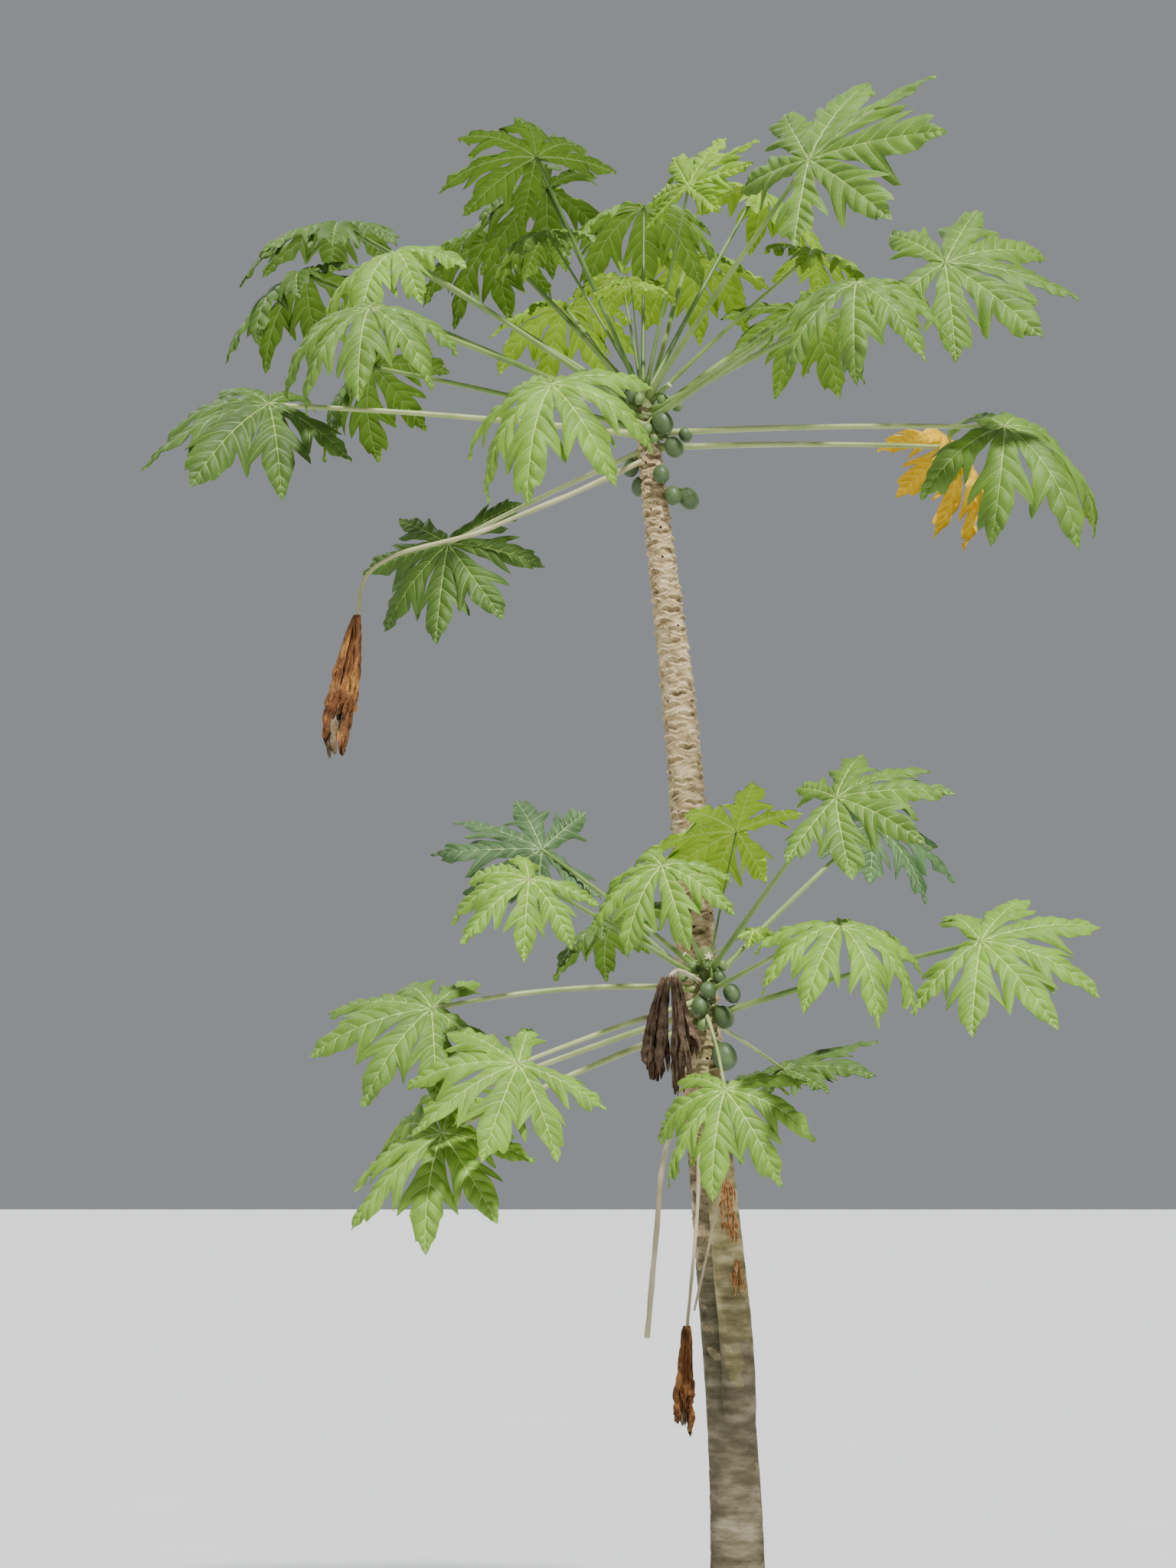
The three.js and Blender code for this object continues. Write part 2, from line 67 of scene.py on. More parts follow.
# Stems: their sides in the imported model, and how their skins are divided, in metres and columns
TRUNK_SIDES = 12
SIDE_STEM_SIDES = 10
STEM_ROW = 0.0032
SMOOTH_STEM_ROW = 0.0055
TRUNK_COLUMNS = 112
SIDE_STEM_COLUMNS = 72
TIP_ROUNDING = 0.035
# Where the side stem grows out of the trunk: middle, height and radius
SIDE_STEM_FOOT = ((-0.014, -0.002, 0.76, 0.051), (-0.004, -0.046, 0.89, 0.051))
FOOT_HEIGHT = 0.12
FOOT_RIBS = 0.006

# Leaf scars: where they are and how large, in metres. BROW_RISE to BUD_SEAT are shares of a
# scar's half-height, and OPEN_BUDS is the share of scars with a hole in place of a bud.
GOLDEN_ANGLE = 137.5
TRUNK_SCARS = (1.3, 3.98)
SIDE_STEM_SCARS = (1.72, 2.24)
SCAR_STEP = 0.0128
SCAR_HALF_WIDTH = 0.047
SCAR_HALF_HEIGHT = 0.024
SCAR_RIDGE = 0.0036
SCAR_RELIEF = 0.0056
BUD_RADIUS = 0.0055
BUD_EDGE = 0.0024
BROW_RISE = 0.6
BROW_DIP = 0.55
BROW_DIP_WIDTH = 0.26
LIP_DROP = 0.9
HOLLOW_HEIGHT = 0.42
BUD_SEAT = 0.38
OPEN_BUDS = 0.22

# Bark: level cracks, slow unevenness, and the heights where one kind goes over into the next
TRUNK_CRACKS = (0.06, 1.6)
SIDE_STEM_CRACK_TOP = 1.9
CRACK_WIDTH = 0.003
CRACK_ZONE = 0.02
CRACK_TILT = 0.006
CRACK_FADE = 0.4
UNEVEN_WAVES = 7
BUMP_SCALES = (9, 60)
PATCH_SCALES = (14, 90)
PATCH_AMOUNTS = (1.0, 0.3)
# below this the bark grows older and greyer, and darker by painted shade
AGING_SHADE_HEIGHT = 1.55
YOUNG_HEIGHT = 3.9
# below these heights the side stem's bark turns darker and greyer: older bark and painted shade
FORK_BARK_FOOT = 1.06
FORK_BARK_TOP = 1.3
SIDE_YOUNG_HEIGHT = 2.12
# past this a hollow is an open bud hole, painted dark as shade
OPEN_HOLLOW = 1.3
# Torn patches of the side stem's bark: height, half their height and how many flakes each has
TORN_PATCHES = ((1.53, 0.075, 64), (1.335, 0.035, 20))
TORN_HEADING = 290
TORN_SPREAD = 17

# Leaf stalks
STALK_FOOT_RADIUS = 0.011
STALK_TIP_RADIUS = 0.007
STALK_TAPER = 0.7
STALK_SEAT = 0.6
STALK_BOW = 0.02
STALK_SIDES = 12
STALK_STEPS = 20
FULL_STALK = 0.9
PALE_RISE = 8
STEEP_RISE = 50
STEEP_SLIMNESS = 0.8
STALK_FLARE = 0.55
STALK_FLARE_LENGTH = 0.035
STALK_SWELL = 0.25
STALK_SWELL_LENGTH = 0.03

# Blades. Lobes are listed from the middle one outwards, in degrees and as shares of its length.
LOBE_ANGLES = (0, 41, 82, 127)
LOBE_LENGTHS = (1, 0.98, 0.9, 0.76)
SINUS_DEPTHS = (0.25, 0.23, 0.2)
BASAL_SINUS_DEPTH = 0.1
LOBE_CUP = 0.1
LEAST_BEND = 8
LOBE_FLUTTER = 12
SIDE_VEIN_SLANT = 1.05
BLADE_THICKNESS = 0.0014
MIDRIB_HALF_WIDTH = 0.0034
VEIN_HALF_WIDTH = 0.0013
VEIN_TAPER = 0.93
MIDRIB_TAPER = 0.8
WIDEST_RIB = 0.3
VEIN_BOW = 0.3
RIB_DEPTH = 0.0032
PUCKER = 0.0085
FULL_PUCKER_SPAN = 0.04
MARGIN_WAVE = 0.0066
LOBE_ARCH = 0.05
LOBE_HALF_WIDTH = 0.2
LOBE_TWIST = 0.22
LOBE_SPREAD = 3.0

# The edge of a lobe from its sinus to its tip, along it and to the side, as shares of its length.
# A large side lobe and then a small one stand out of it on each side.
LOBE_EDGE = (
    (0.3, 0.094), (0.38, 0.11), (0.45, 0.134), (0.52, 0.168), (0.585, 0.203),
    (0.645, 0.228), (0.7, 0.232),
    (0.64, 0.176), (0.594, 0.13), (0.574, 0.094),
    (0.628, 0.112), (0.704, 0.13), (0.778, 0.14), (0.845, 0.134), (0.89, 0.116),
    (0.862, 0.092), (0.864, 0.074),
    (0.905, 0.058), (0.955, 0.032), (1.0, 0.0),
)
LARGE_SIDE_LOBE = range(2, 9)
SMALL_SIDE_LOBE = range(11, 18)
SMALL_NOTCH = (15, 16)
SMALL_NOTCH_DEPTH = 0.028
FIRST_TIP = 6
SECOND_TIP = 14
# Half-width of a lobe's body where the large side lobe is left out, and of its tip where the
# small one is, which falls off towards the end
BODY_WIDTH = 0.108
TIP_WIDTH = 0.31
TIP_TAPER = 0.8
# How the side lobes vary
WIDEST_LOBE = 1.16
LARGE_LOBE_SIZES = (0.88, 1.22)
SMALL_LOBE_SIZES = (0.05, 0.2, 0.5, 1.0)
OUTER_LOBE_SIZE = 0.85
SIDE_LOBE_SHIFT = 0.025
# Columns from the middle of the midrib over its edge to the edge of the blade
BLADE_COLUMNS = (0.0, 0.0, 0.22, 0.45, 0.68, 0.86, 1.0)
# Side veins: the first before the sinus, then shares of the way to each tip and to the end
FIRST_VEIN = 0.45
VEIN_SHARES = ((0.25, 0.62, 1), (0.36, 0.7, 1), (0.4, 0.7))
# Rows between two veins and how high the blade puckers there
VEIN_HILLS = ((0.3, 0.8), (0.55, 1.0), (0.8, 0.7))
LEAST_ROW_GAP = 0.012
WELD_STEPS = 20000

# Dead blades
RIBBON_ROWS = 40
RIBBON_COLUMNS = 11
RIBBON_THICKNESS = 0.003
RIBBON_RAG = 0.05
RIBBON_NECK = 0.09
HUB_RADIUS = 0.008
PALE_EVERY = 5
DEAD_STALK_STEPS = 44
SHRUNK = 0.92

# Fruit
FRUIT_DROOP = 60
FRUIT_WIDTH = 0.41
FRUIT_COLUMNS = 24
FRUIT_ROWS = 18
FRUIT_RIBS = 0.022
FRUIT_END_RADIUS = 0.0012
FRUIT_STALK_RADIUS = 0.0036
FRUIT_STALK_BOW = 0.006
# Length and radius of the small point at a fruit's free end and of the cap at its stalk
FRUIT_TIP = (0.005, 0.0024)
FRUIT_CAP = (0.004, 0.0065)
YOUNG_FRUIT = 0.045
KNOT_REACH = 0.012


def grow(foot, heading, rise, length, lobe, droop, face=None, pitch=0, roll=0, bow=None,
         tone="mid"):
    """One leaf by the foot, heading and rise of its stalk and the set of its blade."""
    return SimpleNamespace(
        foot=foot, heading=heading, rise=rise, length=length, lobe=lobe, droop=droop,
        face=heading if face is None else face, pitch=pitch, roll=roll, tone=tone,
        bow=STALK_BOW * length if bow is None else bow)


# Leaves of the tall trunk's crown
UPPER_LEAVES = [
    grow(3.902, 352, -1, 1.1, 0.5, 80, pitch=12, roll=36),
    grow(3.858, 20, 5, 1.05, 0.36, 78, pitch=45, roll=10, tone="old"),
    grow(3.97, 333, 19, 1.05, 0.43, 26, face=350, pitch=5, roll=50),
    grow(3.94, 310, 14, 0.95, 0.38, 70, face=256, pitch=34),
    grow(4.015, 314, 41, 0.92, 0.46, 20, face=345, pitch=-40, roll=50),
    grow(4.03, 43, 57, 0.94, 0.36, 55, pitch=5, roll=25, tone="lime_backlit"),
    grow(4.052, 88, 68, 0.74, 0.4, 70, face=90),
    grow(4.056, 160, 60, 0.62, 0.27, 60, face=200, pitch=10),
    grow(4.04, 132, 60, 0.9, 0.39, 52, face=178, pitch=10, roll=12, tone="deep"),
    grow(4.035, 192, 66, 0.82, 0.36, 42, face=222, pitch=-15, roll=10, tone="deep"),
    grow(4.01, 126, 41, 1.14, 0.35, 56, pitch=20, tone="deep"),
    grow(3.948, 216, 10, 1.03, 0.41, 72, pitch=25, roll=-20),
    grow(3.963, 186, 33, 0.93, 0.35, 62, face=195, pitch=20, roll=-15, tone="light"),
    grow(3.942, 169, 26, 1.23, 0.4, 60, face=178, pitch=20, tone="deep"),
    grow(3.915, 156, 18, 1.02, 0.36, 66, pitch=35, tone="deep"),
    grow(3.895, 198, 0, 1.2, 0.44, 45, pitch=8, roll=-35, tone="deep"),
    grow(3.92, 249, -5, 0.81, 0.43, 72, pitch=42, tone="light"),
    grow(3.85, 148, -16, 0.79, 0.37, 26, face=250, pitch=65, tone="deep"),
    grow(3.95, 108, 36, 1.02, 0.35, 56, pitch=15, tone="lime_backlit"),
    grow(4.028, 104, 61, 0.53, 0.22, 35, tone="lime_backlit"),
    grow(4.054, 250, 72, 0.32, 0.15, 30, tone="lime_backlit"),
    grow(3.975, 78, 44, 1.06, 0.36, 56, pitch=10, tone="lime_backlit"),
    grow(3.955, 55, 32, 1.1, 0.37, 62, pitch=20),
    grow(4.0, 352, 42, 0.7, 0.29, 50, pitch=15, tone="lime_backlit"),
    grow(3.988, 165, 34, 1.22, 0.4, 38, face=185, pitch=5, roll=-10, tone="deep"),
    grow(4.05, 323, 75, 0.65, 0.27, 15, face=45, pitch=-60, tone="lime_backlit"),
]

# Leaves of the side stem's crown
LOWER_LEAVES = [
    grow(2.08, 335, 13, 0.88, 0.39, 38, pitch=4, roll=42, tone="light"),
    grow(2.15, 302, 13, 0.69, 0.36, 68, face=296, pitch=25, roll=5, tone="light"),
    grow(2.205, 307, 39, 0.76, 0.345, 30, face=338, pitch=-12, roll=42),
    grow(2.18, 35, 39, 0.84, 0.33, 40, face=0, pitch=15, roll=30, tone="blue_sheen"),
    grow(2.25, 346, 78, 0.405, 0.32, 22, face=195, roll=30, tone="lime_backlit"),
    grow(2.225, 252, 31, 0.52, 0.3, 65, face=228, pitch=40, roll=-15, tone="light"),
    grow(2.19, 218, 22, 0.705, 0.29, 52, pitch=25, roll=-30, tone="light"),
    grow(2.215, 143, 34, 0.74, 0.35, 16, face=190, roll=-48, tone="blue_sheen"),
    grow(2.16, 194, -5, 0.83, 0.39, 42, face=192, pitch=5, roll=-36, bow=0.06),
    grow(2.125, 223, -16, 0.77, 0.37, 35, face=208, pitch=18, roll=-36, tone="light"),
    grow(2.095, 160, -18, 0.87, 0.36, 35, face=185, pitch=25, roll=-20, tone="lime_backlit"),
    grow(2.06, 206, -22, 0.91, 0.38, 48, face=198, pitch=32, roll=-32, tone="light"),
    grow(2.07, 61, -14, 0.56, 0.32, 15, face=10, pitch=-22, roll=10, tone="deep"),
    grow(2.085, 275, -29, 0.51, 0.345, 70, face=250, pitch=45, bow=0.06, tone="light"),
    grow(2.165, 115, 25, 0.65, 0.32, 40, pitch=15, roll=-20, tone="deep"),
    grow(2.262, 352, 28, 0.165, 0.1, 30, face=340, pitch=10, roll=20, tone="lime_backlit"),
]


def dead_leaf(node, heading, radii, stalk, rags=(), dry="dead_rust", bare="stalk_straw",
              ribbons=0, splay=0, neck=0, hem=0):
    """One dead leaf: a bare stalk through its stations, with its foot and tip radius.

    Each rag is a dry blade by its top, length, width and lean, and hangs in a number of ribbons.
    """
    return SimpleNamespace(
        node=node, heading=heading, radii=radii, stalk=stalk, rags=rags, dry=dry, bare=bare,
        ribbons=ribbons, splay=splay, neck=neck, hem=hem)


DEAD_LEAVES = [
    dead_leaf(
        "dead_leaf_upper", 195, (0.011, 0.006),
        [(-0.272, -0.008, 3.818), (-0.43, -0.06, 3.728), (-0.75, -0.14, 3.57),
         (-1.13, -0.256, 3.365), (-1.138, -0.27, 3.262)],
        [((-1.142, -0.27, 3.275), 0.42, 0.12, -0.06)],
        bare="stalk_fading", ribbons=10, splay=0.5, neck=0.14, hem=0.42),
    dead_leaf(
        "dead_leaf_lower", 235, (0.009, 0.007),
        [(-0.105, -0.19, 2.172), (-0.15, -0.27, 2.196), (-0.2, -0.35, 2.198),
         (-0.222, -0.372, 2.165)],
        [((-0.226, -0.374, 2.185), 0.33, 0.07, -0.035), ((-0.206, -0.372, 2.19), 0.36, 0.06, 0.012),
         ((-0.192, -0.366, 2.185), 0.29, 0.056, 0.045)],
        dry="dead_dark", ribbons=5, splay=0.8, neck=0.16, hem=0.5),
    dead_leaf(
        "dead_stalk_long", 228, (0.008, 0.009),
        [(-0.118, -0.18, 1.828), (-0.2, -0.3, 1.756), (-0.232, -0.33, 1.645),
         (-0.25, -0.34, 1.47), (-0.28, -0.34, 1.147)]),
    dead_leaf(
        "dead_leaf_hanging", 255, (0.007, 0.005),
        [(-0.092, -0.18, 1.738), (-0.123, -0.28, 1.695), (-0.129, -0.29, 1.557),
         (-0.164, -0.3, 1.165)],
        [((-0.164, -0.3, 1.18), 0.3, 0.066, -0.01)],
        ribbons=6, splay=0.6, neck=0.2, hem=0.7),
    dead_leaf(
        "dead_stalk_short", 285, (0.005, 0.004),
        [(-0.072, -0.18, 1.79), (-0.045, -0.27, 1.745), (-0.062, -0.3, 1.6),
         (-0.143, -0.33, 1.224)]),
]

# Fruit clusters: the stem, heading and height of the knot, and each fruit by its heading,
# height, distance from the stem's middle and length
FRUIT_CLUSTERS = [
    ("trunk", 225, 4.03, [(218, 4.018, 0.052, 0.056), (250, 4.0, 0.05, 0.038)]),
    ("trunk", 350, 4.02, [(335, 4.002, 0.062, 0.042), (0, 3.992, 0.098, 0.044)]),
    ("trunk", 300, 3.945, [
        (312, 3.922, 0.07, 0.08), (268, 3.903, 0.052, 0.04), (286, 3.872, 0.058, 0.034),
    ]),
    ("trunk", 340, 3.88, [(352, 3.893, 0.116, 0.048), (328, 3.846, 0.088, 0.07)]),
    ("trunk", 310, 3.775, [(292, 3.757, 0.066, 0.062)]),
    ("trunk", 335, 3.712, [(318, 3.692, 0.074, 0.064), (346, 3.688, 0.106, 0.074)]),
    ("trunk", 110, 3.83, [
        (95, 3.806, 0.074, 0.072), (150, 3.8, 0.072, 0.058), (122, 3.748, 0.074, 0.066),
    ]),
    ("side", 215, 2.236, [(218, 2.228, 0.046, 0.03), (182, 2.196, 0.066, 0.034)]),
    ("side", 300, 2.188, [
        (275, 2.234, 0.05, 0.038), (314, 2.192, 0.06, 0.046), (338, 2.23, 0.054, 0.036),
        (276, 2.152, 0.064, 0.056), (332, 2.145, 0.09, 0.06),
    ]),
    ("side", 290, 2.106, [
        (254, 2.106, 0.062, 0.062), (262, 2.054, 0.056, 0.042), (318, 2.074, 0.074, 0.072),
    ]),
    ("side", 312, 2.0, [(311, 1.958, 0.076, 0.088)]),
]

# Flowers: the cluster they grow with, their place, the way they face and how far a petal reaches
FLOWERS = [
    ("fruit_09", (-0.094, -0.243, 2.252), (0.1, -1.0, 0.3), 0.013),
    ("fruit_08", (-0.16, -0.205, 2.262), (-0.7, -0.5, 0.6), 0.008),
    ("fruit_02", (-0.2, -0.06, 4.04), (0.6, -0.7, 0.4), 0.01),
]


# Materials

def add_node(tree, kind, **inputs):
    """A shader node. Each of its inputs is a value or another node's output."""
    node = tree.nodes.new("ShaderNode" + kind)
    for name, source in inputs.items():
        if isinstance(source, bpy.types.NodeSocket):
            tree.links.new(source, node.inputs[name])
        else:
            node.inputs[name].default_value = source
    return node


def ramp_material(name, tones, drift, roughness, bump=0.0, grain=60, squeeze=1, specular=0.5):
    """A surface whose colour drifts between its tones by noise, with a fine bump.

    drift and grain are the scales of the two noises. squeeze makes them lower than wide.
    """
    material = bpy.data.materials.new(name)
    material.use_nodes = True
    tree = material.node_tree
    shader = tree.nodes["Principled BSDF"].inputs
    shader["Roughness"].default_value = roughness
    shader["Specular IOR Level"].default_value = specular

    place = add_node(tree, "TexCoord").outputs["Object"]
    place = add_node(tree, "Mapping", Vector=place, Scale=(1, 1, squeeze)).outputs["Vector"]
    drifting = add_node(tree, "TexNoise", Vector=place, Scale=drift, Detail=DRIFT_DETAIL,
                        Roughness=DRIFT_ROUGHNESS)
    ramp = add_node(tree, "ValToRGB", Fac=drifting.outputs["Fac"])
    stops = ramp.color_ramp.elements
    while len(stops) < len(tones):
        stops.new(0.5)
    for index, tone in enumerate(tones):
        low, high = RAMP_SPAN
        stops[index].position = low + (high - low) * index / (len(tones) - 1)
        stops[index].color = (*tone, 1)
    tree.links.new(ramp.outputs["Color"], shader["Base Color"])

    if bump:
        grains = add_node(tree, "TexNoise", Vector=place, Scale=grain, Detail=GRAIN_DETAIL)
        relief = add_node(tree, "Bump", Strength=bump, Distance=BUMP_DEPTH,
                          Height=grains.outputs["Fac"])
        tree.links.new(relief.outputs["Normal"], shader["Normal"])
    return material


def shades(tone, *shares):
    """A tone made darker or lighter by shares."""
    return [tuple(channel * share for channel in tone) for share in shares]


# Each leaf tone: upper side, its veins, lower side. Lower sides are paler, and brighter still by
# painted glow of light shining through the blade.
LEAF_TONES = {
    "mid": ((0.116, 0.226, 0.024), (0.41, 0.54, 0.16), (0.21, 0.36, 0.036)),
    # painted light: the mid tone made lighter, for leaves in the light
    "light": ((0.168, 0.312, 0.03), (0.49, 0.62, 0.19), (0.27, 0.43, 0.046)),
    # painted shade: the mid tone made darker, for leaves in shade inside and behind the crown
    "deep": ((0.064, 0.134, 0.014), (0.31, 0.43, 0.11), (0.15, 0.28, 0.024)),
    # painted shade with a painted bluish sheen
    "blue_sheen": ((0.066, 0.136, 0.042), (0.32, 0.44, 0.19), (0.16, 0.28, 0.062)),
    # lime green of young leaves; on grown leaves at the back of the crown it is painted glow of
    # light shining through them
    "lime_backlit": ((0.182, 0.335, 0.014), (0.49, 0.62, 0.12), (0.32, 0.5, 0.024)),
    "old": ((0.74, 0.43, 0.002), (0.82, 0.62, 0.05), (0.74, 0.47, 0.01)),
}


def leaf_materials(tone):
    """Upper side, its veins, lower side with painted glow of light through it, and its ribs."""
    top, vein, under = LEAF_TONES[tone]
    return [
        ramp_material(f"leaf_top_{tone}", shades(top, 0.72, 1, 1.3), 9, 0.56,
                      bump=0.35, grain=150, specular=0.32),
        ramp_material(f"leaf_vein_{tone}", shades(vein, 0.85, 1, 1.1), 20, 0.5, specular=0.3),
        ramp_material(f"leaf_under_{tone}", shades(under, 0.8, 1, 1.2), 9, 0.62,
                      bump=0.3, grain=150, specular=0.2),
        ramp_material(f"leaf_rib_{tone}", shades(vein, 0.95, 1.1), 20, 0.55, specular=0.35),
    ]


# How the surfaces of each kind look where one of them says nothing else
KINDS = {
    "stalk": dict(drift=5, roughness=0.42, bump=0.15, grain=90, specular=0.35),
    "bark": dict(drift=30, roughness=0.85, bump=0.7, grain=120, specular=0.15),
    "fruit": dict(drift=14, roughness=0.46, bump=0.12, grain=220, specular=0.35),
    "flower": dict(drift=40, roughness=0.55, bump=0.2, specular=0.2),
    "dead": dict(drift=16, roughness=0.75, bump=0.9, grain=120, specular=0.2),
    "floor": dict(drift=0.6, roughness=0.9, specular=0.1),
}

leaf_surfaces = {tone: leaf_materials(tone) for tone in LEAF_TONES}
surfaces = {}


def surface(name, *tones, **own):
    """A surface of a kind, with its tones from dark to pale and what it has of its own."""
    kind = name.split("_")[0]
    surfaces[name] = ramp_material(name, tones, **{**KINDS[kind], **own})


surface("stalk_green", (0.11, 0.19, 0.036), (0.19, 0.29, 0.07), (0.29, 0.38, 0.125))
# young green stalks, made darker by painted shade inside the crown
surface("stalk_deep", (0.07, 0.135, 0.026), (0.12, 0.21, 0.048), (0.19, 0.29, 0.08))
surface("stalk_cream", (0.23, 0.3, 0.095), (0.36, 0.42, 0.155), (0.48, 0.52, 0.24))
surface("stalk_fading", (0.27, 0.29, 0.12), (0.42, 0.41, 0.2), (0.52, 0.47, 0.27),
        drift=6, roughness=0.5, bump=0.2, specular=0.3)
surface("stalk_straw", (0.27, 0.22, 0.13), (0.48, 0.41, 0.26), (0.68, 0.61, 0.44),
        drift=12, roughness=0.7, bump=0.5, grain=160, squeeze=0.12, specular=0.2)
surface("bark_tan", (0.13, 0.082, 0.036), (0.46, 0.34, 0.18), (0.76, 0.62, 0.38),
        drift=26, squeeze=1.7)
# painted shade: darker tones for the hollows of the leaf scars
surface("bark_hollow", (0.075, 0.048, 0.024), (0.2, 0.14, 0.074), (0.42, 0.325, 0.195),
        roughness=0.9, bump=0.8, specular=0.1)
# painted highlight: lighter tones for the raised ridges of the leaf scars
surface("bark_ridge", (0.5, 0.38, 0.21), (0.74, 0.6, 0.37), bump=0.5, grain=160)
# grey older bark low on the stems, darkened by painted shade below the crowns
surface("bark_grey", (0.06, 0.05, 0.026), (0.15, 0.128, 0.076), (0.31, 0.27, 0.175),
        drift=9, bump=0.6, grain=60, squeeze=3)
# between tan and grey: older bark, partly darkened by painted shade
surface("bark_aging", (0.08, 0.062, 0.032), (0.26, 0.205, 0.118), (0.5, 0.42, 0.27),
        drift=15, grain=90, squeeze=2.2)
# painted shade: near black inside the open holes of fallen buds
surface("bark_crack", (0.04, 0.027, 0.016), (0.085, 0.06, 0.036),
        roughness=0.9, bump=0.5, grain=60, specular=0.1)
surface("bark_olive", (0.1, 0.08, 0.028), (0.28, 0.232, 0.1), (0.52, 0.455, 0.25),
        drift=9, roughness=0.75, bump=0.5, grain=80, squeeze=3, specular=0.2)
# between olive and grey: darkened by painted shade low on the side stem
surface("bark_fork", (0.072, 0.059, 0.024), (0.205, 0.172, 0.08), (0.4, 0.35, 0.2),
        drift=9, roughness=0.8, bump=0.5, grain=80, squeeze=3, specular=0.2)
surface("bark_young", (0.085, 0.11, 0.034), (0.155, 0.185, 0.066), (0.25, 0.27, 0.12),
        drift=14, roughness=0.7, bump=0.4, grain=80, specular=0.2)
surface("bark_torn", (0.17, 0.07, 0.026), (0.46, 0.23, 0.085), (0.66, 0.42, 0.2),
        drift=60, bump=0.9, grain=200)
surface("fruit_green", (0.046, 0.08, 0.026), (0.074, 0.12, 0.042), (0.13, 0.188, 0.088))
surface("fruit_light", (0.11, 0.18, 0.045), (0.18, 0.27, 0.085))
surface("fruit_tip", (0.24, 0.26, 0.12), (0.46, 0.46, 0.26),
        drift=60, roughness=0.6, bump=0.3, grain=60, specular=0.2)
surface("flower_cream", (0.66, 0.62, 0.38), (0.82, 0.79, 0.58))
surface("dead_rust", (0.05, 0.019, 0.007), (0.2, 0.08, 0.026), (0.52, 0.25, 0.07))
surface("dead_dark", (0.05, 0.027, 0.016), (0.135, 0.082, 0.052), (0.27, 0.185, 0.125),
        drift=34, roughness=0.8)
surface("dead_olive", (0.06, 0.038, 0.018), (0.16, 0.105, 0.055), (0.29, 0.22, 0.13),
        drift=18, bump=0.8)
surface("floor_pale", (0.66, 0.67, 0.68), (0.7, 0.71, 0.72))


# Mesh helpers

def place_in_scene(name, data):
    item = bpy.data.objects.new(name, data)
    bpy.context.scene.collection.objects.link(item)
    return item


def add_piece(name, points, faces, face_surfaces, materials, node):
    """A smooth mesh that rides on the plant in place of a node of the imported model."""
    mesh = bpy.data.meshes.new(name)
    mesh.from_pydata([tuple(point) for point in points], [], faces)
    for material in materials:
        mesh.materials.append(material)
    mesh.polygons.foreach_set("material_index", np.asarray(face_surfaces, dtype=np.int32))
    mesh.polygons.foreach_set("use_smooth", np.full(len(mesh.polygons), True))
    mesh.update()
    piece = place_in_scene(name, mesh)
    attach(piece, "root")
    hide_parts(node)


class Mesh:
    """Points and faces gathered from several skins, with a surface number for each face."""

    def __init__(self):
        self.points = []
        self.faces = []
        self.surfaces = []
        self.count = 0

    def skin(self, rings, surface=0):
        """A skin over rings of points, closed at both ends.

        surface is a number, or one for each face between the rings.
        """
        rings = np.asarray(rings, dtype=float)
        rows, columns, _ = rings.shape
        first = self.count
        last = first + (rows - 1) * columns
        self.points.append(rings.reshape(-1, 3))
        self.count += rows * columns
        row, column = np.meshgrid(np.arange(rows - 1), np.arange(columns), indexing="ij")
        start = first + row * columns
        following = (column + 1) % columns
        quads = np.stack([
            start + column, start + following,
            start + columns + following, start + columns + column,
        ], axis=-1)
        self.faces.extend(quads.reshape(-1, 4).tolist())
        self.surfaces.extend(np.broadcast_to(surface, row.shape).reshape(-1).tolist())
        self.faces.append([first + side for side in reversed(range(columns))])
        self.faces.append([last + side for side in range(columns)])
        self.surfaces.extend([0 if np.ndim(surface) else surface] * 2)

    def add(self, name, looks, node, slot):
        """Makes the mesh a piece. looks are the names of its surfaces."""
        add_piece(name, np.concatenate(self.points), self.faces, self.surfaces,
                  [surfaces[look] for look in looks], node)


def direction(heading, rise=0):
    level = math.cos(math.radians(rise))
    return Vector((
        level * math.cos(math.radians(heading)),
        level * math.sin(math.radians(heading)),
        math.sin(math.radians(rise)),
    ))


def smooth_through(stations, values, at):
    """Values at places between stations, on a smooth curve through them."""
    stations = np.asarray(stations, dtype=float)
    values = np.asarray(values, dtype=float)
    slopes = np.gradient(values, stations, axis=0)
    at = np.clip(at, stations[0], stations[-1])
    index = np.clip(np.searchsorted(stations, at, side="right") - 1, 0, len(stations) - 2)
    gap = stations[index + 1] - stations[index]
    share = (at - stations[index]) / gap
    shape = (-1,) + (1,) * (values.ndim - 1)
    gap = gap.reshape(shape)
    share = share.reshape(shape)
    start = 2 * share ** 3 - 3 * share ** 2 + 1
    leave = share ** 3 - 2 * share ** 2 + share
    arrive = share ** 3 - share ** 2
    return (start * values[index] + (1 - start) * values[index + 1]
            + gap * (leave * slopes[index] + arrive * slopes[index + 1]))


def curve_points(stations, steps):
    """Points evenly shared along a smooth curve through stations."""
    stations = np.asarray([tuple(station) for station in stations], dtype=float)
    lengths = np.linalg.norm(np.diff(stations, axis=0), axis=1)
    along = np.concatenate([[0], np.cumsum(lengths)])
    return smooth_through(along, stations, np.linspace(0, along[-1], steps + 1))


